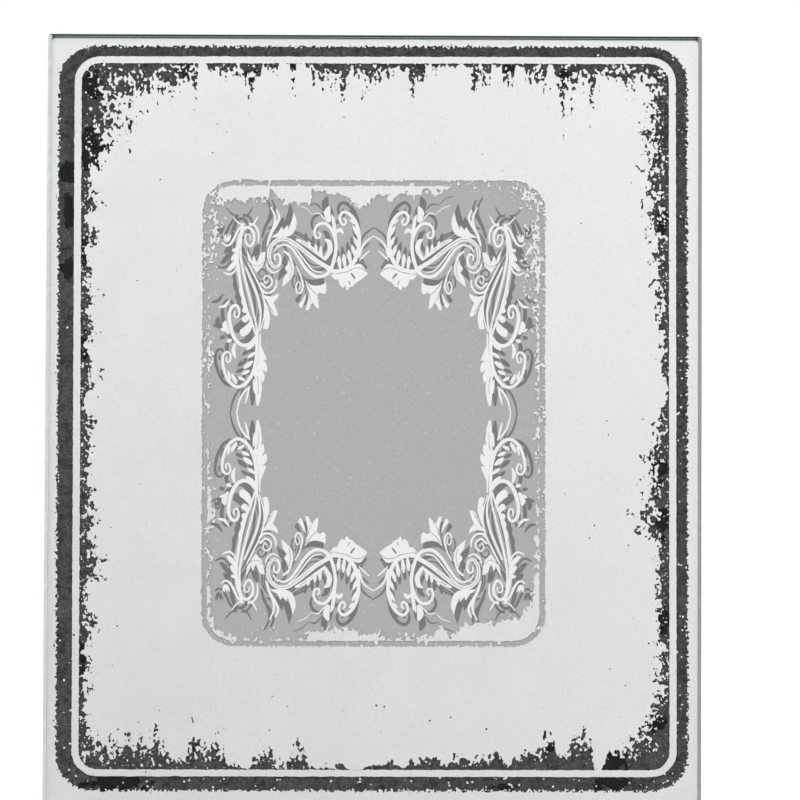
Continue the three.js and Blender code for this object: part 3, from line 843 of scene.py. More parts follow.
def pattern_grid(pitch):
    """Grid lines over the plate, x and z at their crossings, and the same in the turned pattern."""
    xs = np.arange(-PLATE_WIDTH / 2 - GRID_MARGIN, PLATE_WIDTH / 2 + GRID_MARGIN + pitch, pitch)
    zs = np.arange(-PLATE_HEIGHT / 2 - GRID_MARGIN, PLATE_HEIGHT / 2 + GRID_MARGIN + pitch, pitch)
    x, z = np.meshgrid(xs, zs, indexing="ij")
    c = math.cos(PATTERN_TILT)
    s = math.sin(PATTERN_TILT)
    return xs, zs, x, z, x * c + z * s, z * c - x * s


def worn_depth(x, z):
    """Depth inside the etched line as a share of the wear's reach, and its scatter, middle and crumbs."""
    half_x = LINE_HALF[0] - LINE_WIDTH
    half_z = LINE_HALF[1] - LINE_WIDTH
    across = x / WEAR_STEP[0]
    up = z / WEAR_STEP[1]
    row = np.full_like(x, STREAK_ROW)
    streaks = np.clip(1 + STREAK_HEIGHT * layered_noise(x, row, *STREAKS), *STREAK_LIMITS)
    sides = np.stack([
        (half_z - z) / (along_side(across, TOP_WEAR) * streaks),
        (half_x - x) / along_side(up, RIGHT_WEAR),
        (half_z + z) / (along_side(across, BOTTOM_WEAR) * np.sqrt(streaks)),
        (half_x + x) / along_side(up, LEFT_WEAR),
    ])
    nearest = sides.argmin(axis=0)
    places = (across, up, across, up)
    shares = [by_side(places, knots, nearest) for knots in (WEAR_SCATTER, WEAR_MIDDLE, WEAR_CRUMBS)]
    return sides.min(axis=0), *shares


def ring_width(x, z):
    """Width of the film left inside the window's line, by the nearest side."""
    from_sides = np.stack([WINDOW_HALF[1] - z, WINDOW_HALF[0] - x, WINDOW_HALF[1] + z, WINDOW_HALF[0] + x])
    return by_side((x, z, x, z), (TOP_RING, RIGHT_RING, BOTTOM_RING, LEFT_RING), from_sides.argmin(axis=0))


def put_disc(xs, zs, field, x, z, radius, is_film):
    """Adds a small disc of film to the field, or takes one out."""
    i, j = near(xs, zs, [(x, z)], DISC_REACH)
    put(field, (i, j), radius - np.hypot(xs[i, None] - x, zs[None, j] - z), is_film)


def add_crumbs(xs, zs, field, band):
    """Leaves crumbs of film in the etched band, more of them toward the lower right."""
    pick = np.random.default_rng(CRUMB_SEED)
    for _ in range(CRUMB_TRIES):
        i = pick.integers(len(xs))
        j = pick.integers(len(zs))
        share = np.clip(CRUMB_SHARE + CRUMB_GROWTH * (xs[i] - zs[j]), *CRUMB_LIMITS)
        radius = pick.uniform(*CRUMB_RADII)
        if band[i, j] > CRUMB_DEPTH and pick.uniform() < share:
            put_disc(xs, zs, field, xs[i], zs[j], radius, True)


def add_specks(xs, zs, field):
    """Makes small round holes at random places clear of the window."""
    pick = np.random.default_rng(SPECK_SEED)
    for _ in range(SPECK_COUNT):
        x = pick.uniform(-LINE_HALF[0], LINE_HALF[0])
        z = pick.uniform(-LINE_HALF[1], LINE_HALF[1])
        radius = pick.uniform(*SPECK_RADII) * pick.uniform(*SPECK_SHRINKAGE)
        if abs(x) > WINDOW_HALF[0] + SPECK_MARGIN or abs(z) > WINDOW_HALF[1] + SPECK_MARGIN:
            put_disc(xs, zs, field, x, z, radius, False)


def fleck_level(x, z):
    """How strong the noise has to be for a fleck of film in the window."""
    level = np.full_like(x, FLECK_LEVEL)
    for spot_x, spot_z, half_x, half_z, share in FLECK_SPOTS:
        level -= share * np.exp(-(((x - spot_x) / half_x) ** 2) - ((z - spot_z) / half_z) ** 2)
    return level


def film_field():
    """Grid lines over the plate, and a field that is positive where film is left."""
    xs, zs, x, z, turned_x, turned_z = pattern_grid(FILM_PITCH)
    field = inside_round_box(
        x, z + (FILM_UPPER_INSET - FILM_LOWER_INSET) / 2, PLATE_WIDTH / 2 - FILM_SIDE_INSET,
        (PLATE_HEIGHT - FILM_UPPER_INSET - FILM_LOWER_INSET) / 2, CORNER_RADIUS,
    )
    px = turned_x - PATTERN_SHIFT[0]
    pz = turned_z - PATTERN_SHIFT[1]
    teeth = TEETH_HEIGHT * layered_noise(px, pz, *TEETH)
    wobble = WOBBLE_HEIGHT * layered_noise(px, pz, *WOBBLE)
    crumbs = layered_noise(px, pz, *CRUMBS)
    coarse_x = np.clip((px - COARSE_FROM[0]) / COARSE_WITHIN[0], 0, 1)
    coarse = coarse_x * np.clip((COARSE_FROM[1] - pz) / COARSE_WITHIN[1], 0, 1)
    large_flakes = layered_noise(px, pz * LARGE_SQUEEZE, *LARGE_FLAKES)
    small_flakes = layered_noise(px, pz * SMALL_SQUEEZE, *SMALL_FLAKES)
    flakes = small_flakes + coarse * (large_flakes - small_flakes)
    # The etched band is ragged outside and clean along the line.
    band_outer = inside_round_box(
        px + (BAND_LEFT - BAND_RIGHT) / 2, pz + (BAND_BOTTOM - BAND_TOP) / 2,
        LINE_HALF[0] + (BAND_LEFT + BAND_RIGHT) / 2, LINE_HALF[1] + (BAND_TOP + BAND_BOTTOM) / 2, BAND_RADIUS,
    )
    line_outer = inside_round_box(px, pz, *LINE_HALF, LINE_RADIUS)
    line_inner = inside_round_box(px, pz, LINE_HALF[0] - LINE_WIDTH, LINE_HALF[1] - LINE_WIDTH, WORN_RADIUS)
    band = np.minimum(band_outer + teeth, wobble - line_outer)
    field = np.minimum(field, -band)
    # Inside the line the film is worn off in flakes that thin out inward, and crumbs of it are left.
    depth, scatter, middle, few = worn_depth(px, pz)
    worn = flakes - (depth - middle) / scatter
    wear = np.minimum(FLAKE_SLOPE * worn, FLAKE_SLOPE * (few + FEWER_CRUMBS * coarse - crumbs))
    field = np.minimum(field, -np.minimum(line_inner + wobble, wear))
    add_crumbs(xs, zs, field, band)
    # The window has an etched line with flecks of film in it and a broken ring of film inside it.
    wx = turned_x - WINDOW_SHIFT[0]
    wz = turned_z - WINDOW_SHIFT[1]
    window = inside_round_box(wx, wz, *WINDOW_HALF, WINDOW_RADIUS)
    wobble *= WINDOW_WOBBLE
    ring_edge = ring_width(wx, wz) + RING_SHARES[0] * large_flakes + RING_SHARES[1] * small_flakes
    ring = np.minimum(window - WINDOW_LINE + wobble, ring_edge + WINDOW_LINE - window)
    level = fleck_level(wx, wz)
    level = np.where(window < WINDOW_LINE + WINDOW_MARGIN, np.minimum(level, LINE_FLECK_LEVEL), level)
    flecks = FLAKE_SLOPE * (FLECK_SHARES[0] * crumbs + FLECK_SHARES[1] * small_flakes - level)
    outer = wobble + WINDOW_TEETH * teeth
    field = np.where(window > -WINDOW_MARGIN, np.maximum.reduce([-window - outer, ring, flecks]), field)
    add_specks(xs, zs, field)
    return xs, zs, field


def drawn_area(xs, zs, field, least, thinning):
    """Points and triangles where the field is positive, without loops under the least area."""
    return filled([thinned(loop, thinning) for loop in outlines(xs, zs, field) if loop_area(loop) > least])


def build_film():
    points, faces = drawn_area(*film_field(), LEAST_FLAKE, FILM_THINNING)
    mesh = flat_mesh("silver_film", to_plate(points, 0), faces, film_low[1], film_high[1])
    for face in mesh.polygons:
        face.material_index = int(face.normal.dot(REAR) > FLAT_ON)
    nodes = ["silver_rim", "silver_line", "silver_field", "silver_window_ring"]
    piece_of(mesh, [silver(), mirror_paint()], nodes)


def build_blots():
    xs, zs, _, _, turned_x, turned_z = pattern_grid(BLOT_PITCH)
    px = turned_x - PATTERN_SHIFT[0]
    pz = turned_z - PATTERN_SHIFT[1]
    ragged = BLOT_EDGE_HEIGHT * layered_noise(px, pz, *BLOT_EDGES)
    field = np.full(px.shape, -1.0)
    for x, z, half_x, half_z in BLOTS:
        away = np.hypot((px - x) / half_x, (pz - z) / half_z)
        field = np.maximum(field, 1 - away + ragged)
    points, faces = drawn_area(xs, zs, field, LEAST_BLOT, BLOT_THINNING)
    front = film_high[1] + BLOT_GAP
    mesh = flat_mesh("paint_blots", to_plate(points, 0), faces, front, front + BLOT_GAP)
    piece_of(mesh, [black_paint()])


# Scroll border on the insert. One quarter is drawn from the middle of the window outward and upward, in steps
# of GRID millimetres. Each scroll is (widths along the stroke, half width, points).

GRID = (1 / 2.871, 1 / 2.753)
SHADE_SCALE = 1.047
INK_PITCH = 0.1
INK_MARGIN = 0.5
LEAST_SQUARE = 1e-9
STEM = (0.75, 1.05, 1.05, 0.85, 0.6)
LOBE = (0.75, 1.15, 1.35, 1.1, 0.45)
CURL = (1.15, 1.15, 1.0, 0.7, 0.5)
VEINED_FROM = {STEM: 1.8, LOBE: 2.6, CURL: 1.85}
VEIN_HALF = 0.28
VEIN_SPAN = (0.12, 0.7)
INSERT_GAP = 0.13
INSERT_TONE = 0.42
INSERT_FLECKS = 0.5
SHADE_TONE = 0.18
WHITE_TONE = 0.86
INK_STEP = 0.04
INK_THICKNESS = INK_STEP * 0.7
INK_THINNING = 0.02
LEAST_INK = 0.03
SCROLLS = [
    (STEM, 1.5, [
        (131, 188), (135.4, 174), (137, 159), (135.4, 141), (131.7, 120), (127, 103), (122, 90), (118, 78),
    ]),
    (STEM, 1.2, [(133.5, 173), (133.5, 156), (130, 138), (124, 114), (119, 94), (117, 81)]),
    (STEM, 1.2, [(128.6, 146), (122.6, 132), (116.5, 117), (113.5, 102), (114, 90), (116.5, 79)]),
    (STEM, 0.9, [(126, 150), (120, 138), (113, 124), (109.5, 110), (110, 96), (114, 82)]),
    (CURL, 1.3, [
        (134, 167), (133, 179), (129, 185.5), (124, 185), (120.5, 180), (120.5, 172), (123.5, 167),
        (127.2, 169), (129, 174), (127.5, 178.5), (124.5, 178), (123.7, 173.5),
    ]),
    (STEM, 1.1, [(125, 190), (119, 187), (115.7, 180), (115.8, 171)]),
    (STEM, 0.9, [(125, 188), (120, 190.5), (116.5, 197)]),
    (STEM, 1.2, [(131, 189.5), (136.5, 182.5), (140.5, 174), (144, 169), (147.5, 167.5), (151.5, 170)]),
    (STEM, 1.0, [(150.5, 141), (146, 138.8), (142, 139.5), (138.5, 143.5), (137, 148)]),
    (STEM, 0.8, [(130, 189), (135.5, 190), (141, 196)]),
    (CURL, 1.9, [
        (43, 144), (56, 151.5), (68, 161), (80, 170), (89, 174.2), (98, 172.5), (104, 165), (105, 155),
        (101, 147), (96, 147), (93.5, 153), (95.5, 159), (99, 158), (99.5, 153.5),
    ]),
    (CURL, 1.5, [
        (44, 142), (50, 137.5), (59, 137), (68, 144.5), (76, 156.5), (83, 165.5), (90, 168.5), (97, 166),
        (99.5, 162),
    ]),
    (STEM, 0.8, [(52, 141), (61, 143), (69.5, 153), (77.5, 163.5), (85, 170.5)]),
    (STEM, 1.2, [(90, 162), (85.5, 158.5), (82, 152)]),
    (CURL, 1.5, [
        (43, 144), (39.5, 155), (38, 168), (41, 181), (48, 189.5), (55.5, 189), (59.5, 183), (58.5, 176.5),
        (55, 175.5), (53.5, 179), (55.7, 181),
    ]),
    (CURL, 1.8, [
        (45, 143), (37, 142), (28, 144), (21, 150), (16.5, 160), (14.7, 174), (17, 188), (23, 198),
        (30, 201.5), (34.2, 197), (33.5, 191), (30, 188.5), (28, 192), (30, 195),
    ]),
    (CURL, 0.8, [
        (72.5, 134), (71, 127), (73.5, 120), (77, 121), (78, 127), (76, 131.5), (73.7, 129), (74.4, 124),
    ]),
    (STEM, 0.7, [(78, 147), (74, 139), (71, 130)]),
    (STEM, 1.2, [(114.5, 127), (110, 121), (103, 121), (98, 127), (97.5, 133)]),
    (CURL, 0.9, [
        (113, 130), (108, 125.5), (102.5, 129), (103, 135), (107.5, 137.5), (110.2, 134), (108.5, 130),
        (106, 132),
    ]),
    (STEM, 1.0, [(108, 149.5), (105.5, 144), (100.5, 140.5), (95, 143)]),
    (CURL, 1.7, [
        (117.5, 76), (124, 69), (132, 68), (139.2, 74.5), (143.7, 87), (144.7, 99), (141.5, 106.5),
        (137, 107.2), (134.7, 102), (136, 96), (139, 96.5), (139.6, 101.5),
    ]),
    (CURL, 1.5, [
        (117, 79), (117, 63), (118.5, 49), (122.5, 37), (129, 28.5), (136, 26), (143.5, 30), (149, 40),
        (151.4, 52), (150, 59), (146, 61), (143, 57), (144.5, 51), (147.5, 52), (147.3, 55.5),
    ]),
    (STEM, 0.9, [(113.7, 79), (114, 63), (115.6, 49), (119.6, 37)]),
    (LOBE, 1.7, [(119.5, 70), (127, 63.5)]),
    (LOBE, 1.5, [(119.5, 60), (125.5, 55.5)]),
    (LOBE, 1.9, [(122, 51), (129.5, 45)]),
    (LOBE, 1.5, [(125, 42), (131.5, 39)]),
    (LOBE, 1.4, [(130, 33), (135.5, 36)]),
    (LOBE, 1.5, [(137.5, 30), (142, 39)]),
    (LOBE, 1.0, [(143.5, 34), (146, 42)]),
    (LOBE, 2.6, [(118, 41), (115.5, 31), (115.5, 19), (116, 8)]),
    (LOBE, 1.0, [(120, 33), (119, 20)]),
    (STEM, 1.0, [(124, 26.5), (131, 19), (135, 10), (137, 0)]),
    (LOBE, 0.9, [(124.5, 25), (128.5, 9)]),
    (LOBE, 2.0, [(146, 80), (149, 87), (148.5, 91.5)]),
    (LOBE, 1.3, [(147, 82), (153.5, 84)]),
    (LOBE, 1.5, [(143, 73), (146.5, 71.5)]),
    (LOBE, 1.5, [(139, 69), (140.5, 62), (138.5, 55)]),
    (LOBE, 1.2, [(154.5, 106), (149, 107.3), (144.3, 113.5)]),
    (STEM, 1.4, [(107, 168.5), (103.5, 179.5), (98, 188.5), (95, 196), (97.5, 203.5)]),
    (STEM, 1.2, [(105, 176), (101.5, 184), (99, 192), (100, 199), (103.5, 206)]),
    (STEM, 1.9, [(77, 173.5), (68, 169), (58, 161), (49, 154)]),
    (LOBE, 2.0, [(49, 154), (44, 163), (45, 171), (48.5, 174)]),
    (LOBE, 1.4, [(53, 157), (53.5, 167)]),
    (LOBE, 1.3, [(58, 161), (58.5, 169)]),
    (LOBE, 1.2, [(64, 165), (65.5, 172)]),
    (LOBE, 1.5, [(34, 145), (35.4, 157)]),
    (LOBE, 1.5, [(29, 146.5), (30.4, 159)]),
    (LOBE, 1.6, [(23.5, 150), (25.5, 163)]),
    (LOBE, 1.5, [(18.5, 157), (22, 168)]),
    (LOBE, 1.4, [(16.5, 167), (20, 176)]),
    (LOBE, 1.3, [(16.5, 178), (21, 187.5)]),
    (LOBE, 1.1, [(20, 190), (24, 194)]),
    (LOBE, 2.5, [(45, 193), (47, 200), (45, 206.5)]),
    (LOBE, 1.4, [(38, 175), (39.5, 185), (41, 194), (42.5, 198.5)]),
    (LOBE, 1.6, [(38, 181), (34, 183.5), (31, 180)]),
    (STEM, 0.7, [(61, 199.5), (55, 200), (50, 195), (46, 191)]),
    (STEM, 0.45, [(76, 208), (68, 205), (62, 199)]),
    (STEM, 1.0, [(14.5, 156), (12, 165.5), (8, 172), (0, 177.5)]),
    (STEM, 0.9, [(14, 153.5), (8.5, 159), (4.5, 162.5)]),
]
# Leaves, as outlines of smooth curves that meet in corners, each curve from the end of the one before
LEAVES = [
    [
        [(39.5, 134), (36, 133.5), (34.5, 129), (31, 125.5), (29, 128)],
        [(27, 123), (23.5, 126.5), (21, 127), (17.5, 131)], [(13, 133.5), (6, 139)],
        [(11.5, 148), (16.5, 149.5), (22, 146.5), (31, 142.5), (44, 139)],
    ],
    [
        [(64.5, 129), (59, 127.5), (52, 128.5), (48, 131)], [(47.5, 126), (48, 121), (50, 119), (54, 121)],
        [(56.5, 118), (55.5, 111.5), (55, 104)], [(58.5, 106.5), (60.5, 110.5)],
        [(63, 108.5), (65, 103.5), (68.5, 103)], [(66, 113.5), (66, 121), (69, 133)],
    ],
    [[(73, 105), (70.5, 108.5), (68.5, 114.5), (67.5, 121)], [(70.5, 115.5), (73, 111.5), (75.5, 108.5)]],
    [
        [(90.5, 134.5), (86.5, 141)], [(89, 145), (86.5, 149)],
        [(84, 156), (80.5, 148), (80.5, 141), (83, 134.5), (92, 126)],
    ],
    [
        [(105.5, 117), (100, 117.5), (95.5, 120.5)], [(96, 116), (100.5, 110.5)], [(98.5, 106), (95.5, 97)],
        [(99.5, 97.5), (103, 101.5), (108, 112), (111.5, 118.5)],
    ],
    [
        [(106.5, 107), (104.2, 98), (104.5, 89), (106.5, 84), (111, 84.5)],
        [(109.5, 93), (109.5, 103), (110.5, 116)],
    ],
    [
        [(135, 122.5), (134, 118)], [(132, 115), (133, 110.5)], [(131, 106.5), (132, 102), (129.5, 100)],
        [(126, 102), (129.5, 117.5), (133.5, 129)],
    ],
    [[(131.5, 95.5), (132, 93), (130, 90.5), (127, 91)], [(125, 95), (124.5, 100), (126.5, 99.5)]],
    [[(127.5, 88), (134, 83)], [(134, 79.5), (132, 76.5), (128, 77.5), (124, 81), (122, 86), (122, 94)]],
    [
        [(110, 60.5), (107.3, 53.5), (111.2, 52.7)], [(108, 50), (106.5, 45), (107.7, 40.7), (112, 43.7)],
        [(109.3, 38.5), (109.3, 34.5), (110.5, 30)], [(113, 33.5), (116.3, 39.5), (115.5, 50), (114.5, 72)],
    ],
    [
        [(127, 158.5), (125.5, 152), (121.5, 146.5), (117.5, 140.5)],
        [(114.5, 143.5), (110.5, 149), (108.5, 161.5)],
        [(112.5, 160.5), (115, 157), (117, 150.5)], [(118.5, 153), (120, 158)],
        [(121.5, 155.5), (122.5, 151.5)], [(123.5, 156), (127.5, 164)],
    ],
    [
        [(96.5, 180.5), (92.5, 187)], [(90.5, 183)], [(87, 188.5)], [(85.5, 183.5)],
        [(82.5, 193), (80.5, 201.5)], [(77.5, 192), (79.5, 182.5), (84.5, 177.5), (93, 176), (103, 176)],
    ],
    [
        [(150.5, 175.5), (149.5, 172), (147, 171), (144.5, 173), (142.5, 179.5)], [(145, 176.5)],
        [(146, 179.5)], [(147.3, 175)], [(148.8, 179.5)], [(149.8, 177)], [(151.2, 180.5)],
    ],
    [
        [(139.5, 165), (142, 164), (142, 162), (139, 161)],
        [(141.5, 158), (143.3, 154.5), (142.5, 152), (139, 154)],
        [(143, 149.5), (147.5, 143)], [(144, 142.5), (139.5, 146), (137, 152.5), (136.5, 167)],
    ],
]
# Lines and notches that are left bare in the leaves, as (half width, points)
SLITS = [
    (0.3, [(43, 138.5), (27, 141.5), (20, 145), (12.5, 145), (8, 141.5)]),
    (0.9, [(22.5, 139.5), (19, 135)]),
    (0.6, [(25, 132), (24, 129)]),
    (0.3, [(67.5, 130.5), (62, 123), (55.5, 117.5)]),
    (0.3, [(65.5, 122), (64, 115), (61.5, 111.5)]),
    (0.3, [(84.5, 153), (82.5, 144), (84.5, 135)]),
    (0.3, [(109.5, 115), (104.5, 107), (100.5, 100)]),
    (0.3, [(125, 151), (120.5, 147.5), (114.5, 147.5), (111, 151)]),
]


def smooth_line(points, steps=7):
    """Points along a smooth curve through the given ones."""
    points = np.array(points, float)
    padded = np.vstack((2 * points[0] - points[1], points, 2 * points[-1] - points[-2]))
    line = []
    for a, b, c, d in zip(padded, padded[1:], padded[2:], padded[3:]):
        for t in np.arange(steps) / steps:
            square = (2 * a - 5 * b + 4 * c - d) * t**2
            cube = (3 * b - a - 3 * c + d) * t**3
            line.append(0.5 * (2 * b + (c - a) * t + square + cube))
    return np.array(line + [points[-1]])


def leaf_line(curves):
    """Closed line of smooth curves, each from the end of the one before."""
    line = []
    corner = curves[-1][-1]
    for curve in curves:
        line += list(smooth_line([corner, *curve])[:-1])
        corner = curve[-1]
    return np.array(line)


def off_segment(x, z, p, q):
    """Share of the way from p to q that is nearest to each place, and the distance to it."""
    way = q - p
    share = np.clip(((x - p[0]) * way[0] + (z - p[1]) * way[1]) / max(way @ way, LEAST_SQUARE), 0, 1)
    return share, np.hypot(x - p[0] - share * way[0], z - p[1] - share * way[1])


def add_leaf(xs, zs, field, outline):
    i, j = near(xs, zs, outline, INK_MARGIN)
    x = xs[i, None]
    z = zs[None, j]
    away = np.full(field[i, j].shape, 1.0)
    inside = np.zeros(field[i, j].shape, bool)
    for p, q in zip(outline, np.roll(outline, -1, axis=0)):
        away = np.minimum(away, off_segment(x, z, p, q)[1])
        crossed = (p[1] > z) != (q[1] > z)
        slope = (q[0] - p[0]) / (q[1] - p[1]) if q[1] != p[1] else 0
        inside ^= crossed & (x < p[0] + (z - p[1]) * slope)
    put(field, (i, j), np.where(inside, away, -away), True)


def put_stroke(xs, zs, field, line, radii, is_ink):
    """Adds a stroke of ink to the field, or leaves one bare."""
    for p, q, r, s in zip(line, line[1:], radii, radii[1:]):
        i, j = near(xs, zs, (p, q), max(r, s) + INK_MARGIN)
        share, away = off_segment(xs[i, None], zs[None, j], p, q)
        put(field, (i, j), r + (s - r) * share - away, is_ink)


def ink_field():
    """Distance inside the drawn leaves and strokes, over one quarter of the window."""
    xs = np.arange(-2 * INK_PITCH, WINDOW_HALF[0] - WINDOW_LINE, INK_PITCH)
    zs = np.arange(-2 * INK_PITCH, WINDOW_HALF[1] - WINDOW_LINE, INK_PITCH)
    field = np.full((len(xs), len(zs)), -1.0)
    for curves in LEAVES:
        add_leaf(xs, zs, field, leaf_line(curves) * GRID)
    for half_width, points in SLITS:
        line = smooth_line(points) * GRID
        put_stroke(xs, zs, field, line, np.full(len(line), half_width * GRID[0]), False)
    for profile, half_width, points in SCROLLS:
        line = smooth_line(points) * GRID
        steps = np.linspace(0, 1, len(line))
        radii = half_width * GRID[0] * np.interp(steps, np.linspace(0, 1, len(profile)), profile)
        put_stroke(xs, zs, field, line, radii, True)
        if half_width >= VEINED_FROM[profile]:
            veined = line[(steps > VEIN_SPAN[0]) & (steps < VEIN_SPAN[1])]
            put_stroke(xs, zs, field, veined, np.full(len(veined), VEIN_HALF * GRID[0]), False)
    field[xs < 0, :] = -1
    field[:, zs < 0] = -1
    return xs, zs, field


def four_ways(points, faces):
    """A quarter of the border mirrored across both middles of the window."""
    all_points = []
    all_faces = []
    for flip_x in (-1, 1):
        for flip_z in (-1, 1):
            start = sum(len(part) for part in all_points)
            all_points.append(points * (flip_x, flip_z) + WINDOW_SHIFT)
            all_faces += [[start + i for i in face] for face in faces]
    return np.vstack(all_points), all_faces


def build_insert():
    """The grey sheet, pressed forward against the film, and the border printed on it."""
    left, _, lower = insert_low
    right, rear, upper = insert_high
    corners = [(left, lower), (right, lower), (right, upper), (left, upper)]
    front = film_high[1] + INSERT_GAP
    sheet = flat_mesh("grey_insert", corners, [(0, 1, 2, 3)], front, rear)
    paper = print_paper("insert_paper", INSERT_TONE, INSERT_FLECKS)
    piece_of(sheet, [paper], ["photo_print"])
    points, faces = drawn_area(*ink_field(), LEAST_INK, INK_THINNING)
    layers = [
        ("border_shade", SHADE_SCALE, 1, print_paper("printed_shade", SHADE_TONE, 0)),
        ("border_scroll", 1.0, 2, print_paper("printed_white", WHITE_TONE, 0)),
    ]
    for name, scale, step, material in layers:
        depth = front - step * INK_STEP
        drawn, drawn_faces = four_ways(points * scale, faces)
        mesh = flat_mesh(name, to_plate(drawn), drawn_faces, depth, depth + INK_THICKNESS)
        piece_of(mesh, [material])


# Ribbon that stops the strut

RIBBON_WIDTH = 10
RIBBON_HALF_THICKNESS = 0.2
SELVEDGE = 0.08
SELVEDGE_SPAN = (0.75, 0.99)
# Depth and rise of the ribbon's ends and bends
RIBBON_LINE = [(6.95, 78.3), (9.35, 78.3), (69.77, 94.08), (72.48, 95.77)]
RIBBON_BEND = 0.9
RIBBON_ROWS = 11
RIBBON_SHARP_ANGLE = math.radians(50)


def rounded_line(points, radius, steps=6):
    """A line through the points with each inner corner cut by a curve that starts the radius away."""
    points = [Vector(point) for point in points]
    line = [points[0]]
    for before, corner, after in zip(points, points[1:], points[2:]):
        start = corner + (before - corner).normalized() * radius
        end = corner + (after - corner).normalized() * radius
        for t in np.linspace(0, 1, steps):
            line.append(start * (1 - t) ** 2 + corner * (2 * t * (1 - t)) + end * t**2)
    return line + [points[-1]]


def build_ribbon():
    line = rounded_line(RIBBON_LINE, RIBBON_BEND)
    spans = [(b - a).normalized() for a, b in zip(line, line[1:])]
    work = bmesh.new()
    loops = []
    for i, (depth, rise) in enumerate(line):
        along = (spans[max(i - 1, 0)] + spans[min(i, len(spans) - 1)]).normalized()
        loop = []
        for side in (1, -1):
            for x in np.linspace(-side, side, RIBBON_ROWS):
                # The woven edges are a little thicker than the middle.
                is_edge = SELVEDGE_SPAN[0] < abs(x) < SELVEDGE_SPAN[1]
                half = side * (RIBBON_HALF_THICKNESS + SELVEDGE * is_edge)
                place = (x * RIBBON_WIDTH / 2, depth - half * along.y, rise + half * along.x)
                loop.append(plate_corner(work, *place))
        loops.append(loop)
    join_loops(work, loops)
    mesh = mesh_of(work, "satin_stay")
    mesh.shade_smooth()
    mesh.set_sharp_from_angle(angle=RIBBON_SHARP_ANGLE)
    ribbon = piece_of(mesh, [satin_ribbon()], ["stay_ribbon"])
    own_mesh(ribbon)


# Stage, camera and light, in metres but for the camera's shift

PLATE_CENTRE = TO_WORLD @ Vector((0, 0, PLATE_MIDDLE))
CAMERA_DISTANCE = 10.0
CAMERA_ABOVE = math.radians(0.5)
CAMERA_ROLL = math.radians(0.25)
CAMERA_RIGHT = 9.25
CAMERA_RAISE = 6.3
CAMERA_REACH = 100
PICTURE_WIDTH = 0.2786
SENSOR = 36
WHITE = (1, 1, 1, 1)
WORLD_LIGHT = 0.8
SQUARE = ((-1, -1), (1, -1), (1, 1), (-1, 1))
FLOOR_HALF = 3.0
FLOOR_GLOW = 0.35
CARD_DISTANCE = 0.5
CARD_HALF = 0.45
# The card's light from lower left to upper right, how far from the middle it changes, and which way
CARD_LIGHT = (0.67, 0.93)
CARD_REACH = 0.16
CARD_SLANT = (0.6, 0.8)
LAMPS = {"key": (-0.9, -1.2, 1.3), "back_fill": (0.9, 1.3, 1.2)}
LAMP_SIZE = 0.9
LAMP_POWER = 9


def add_camera():
    aim = PLATE_CENTRE + Vector((CAMERA_RIGHT, 0, CAMERA_RAISE)) * MM
    data = bpy.data.cameras.new("camera")
    data.sensor_width = SENSOR
    data.lens = SENSOR * CAMERA_DISTANCE / PICTURE_WIDTH
    data.clip_end = CAMERA_REACH
    camera = in_scene("camera", data)
    place = aim + Vector((0, -math.cos(CAMERA_ABOVE), math.sin(CAMERA_ABOVE))) * CAMERA_DISTANCE
    turn = Matrix.Rotation(math.pi / 2 - CAMERA_ABOVE, 4, "X") @ Matrix.Rotation(CAMERA_ROLL, 4, "Z")
    camera.matrix_world = Matrix.Translation(place) @ turn
    bpy.context.scene.camera = camera


def white_share(tree, low, high):
    """The high value for the rays of the camera, of gloss and of glass, and the low one for the rest."""
    return span(tree, any_ray(tree, "Camera", "Glossy", "Transmission"), low, high, 0, 1)


def add_world():
    world = bpy.data.worlds.new("studio")
    bpy.context.scene.world = world
    world.use_nodes = True
    tree = world.node_tree
    background = tree.nodes["Background"].inputs
    feed(tree, background["Color"], WHITE)
    feed(tree, background["Strength"], white_share(tree, WORLD_LIGHT, 1.0))


def add_plane(name, corners, material):
    mesh = bpy.data.meshes.new(name)
    mesh.from_pydata(corners, [], [(0, 1, 2, 3)])
    mesh.materials.append(material)
    made = in_scene(name, mesh)
    return made


def add_floor():
    material, tree, shader = new_material(
        "studio_floor", Roughness=0.9, Specular_IOR_Level=0.1, Emission_Color=WHITE,
    )
    dress(tree, shader, ramp(tree, noise(tree, 900, 2), [(0.3, 0.88), (0.7, 0.9)]))
    feed(tree, shader.inputs["Emission Strength"], white_share(tree, 0, FLOOR_GLOW))
    add_plane("floor", [(a * FLOOR_HALF, b * FLOOR_HALF, 0) for a, b in SQUARE], material)


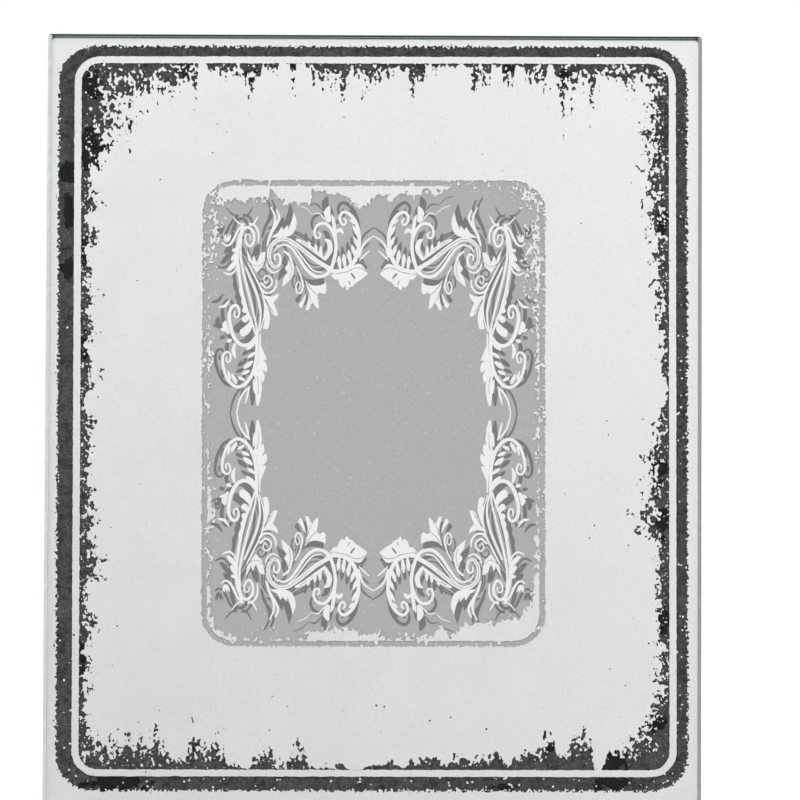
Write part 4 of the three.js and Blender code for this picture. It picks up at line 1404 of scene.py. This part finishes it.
def add_mirror_card():
    """A graded card that the silver reflects to the camera."""
    to_camera = Vector((0, -1, 0))
    toward = 2 * REAR.dot(to_camera) * REAR - to_camera
    across = Vector((1, 0, 0))
    upward = toward.cross(across)
    middle = PLATE_CENTRE + toward * CARD_DISTANCE
    slant = (across * CARD_SLANT[0] + upward * CARD_SLANT[1]).normalized()
    material = bpy.data.materials.new("mirror_card")
    material.use_nodes = True
    tree = material.node_tree
    tree.nodes.remove(tree.nodes["Principled BSDF"])
    inputs = {0: add_node(tree, "TexCoord").outputs["Object"], 1: tuple(middle)}
    offset = add_node(tree, "VectorMath", inputs, operation="SUBTRACT").outputs["Vector"]
    inputs = {0: offset, 1: tuple(slant)}
    share = add_node(tree, "VectorMath", inputs, operation="DOT_PRODUCT").outputs["Value"]
    light = span(tree, share, *CARD_LIGHT, -CARD_REACH, CARD_REACH)
    glow = add_node(tree, "Emission", {"Strength": light}).outputs["Emission"]
    feed(tree, tree.nodes["Material Output"].inputs["Surface"], glow)
    corners = [middle + (across * a + upward * b) * CARD_HALF for a, b in SQUARE]
    card = add_plane("mirror_card", corners, material)
    card.visible_camera = False
    card.visible_shadow = False


def add_lamp(name, place):
    data = bpy.data.lights.new(name, "AREA")
    data.shape = "DISK"
    data.size = LAMP_SIZE
    data.energy = LAMP_POWER
    lamp = in_scene(name, data)
    lamp.location = place
    lamp.rotation_mode = "QUATERNION"
    lamp.rotation_quaternion = (PLATE_CENTRE - Vector(place)).to_track_quat("-Z", "Y")


BOARD_BEVEL = 0.35
SHEET_BEVEL = 0.12

build_glass()
build_film()
build_blots()
build_insert()
build_ribbon()
for node, material in (("black_backing", black_paper()), ("backer_card", grey_card())):
    materials = frame["nodes"][node].data.materials
    materials.clear()
    materials.append(material)

velvet_cover = velvet()
raw_edge = fibreboard_edge()
steel = zinc_steel()
bright = nickel()
for node in ("back_board", "back_door", "easel_strut"):
    softened(node, BOARD_BEVEL, velvet_cover, raw_edge)
for node in frame["nodes"]:
    if node.startswith(("turn_button", "hinge_fixed", "hinge_moving")):
        softened(node, SHEET_BEVEL, steel)
    elif "rivet" in node or node == "hinge_pin":
        rounded(node, bright)

add_camera()
add_world()
add_floor()
add_mirror_card()
for name, place in LAMPS.items():
    add_lamp(name, place)

bpy.context.scene.view_settings.view_transform = "Standard"
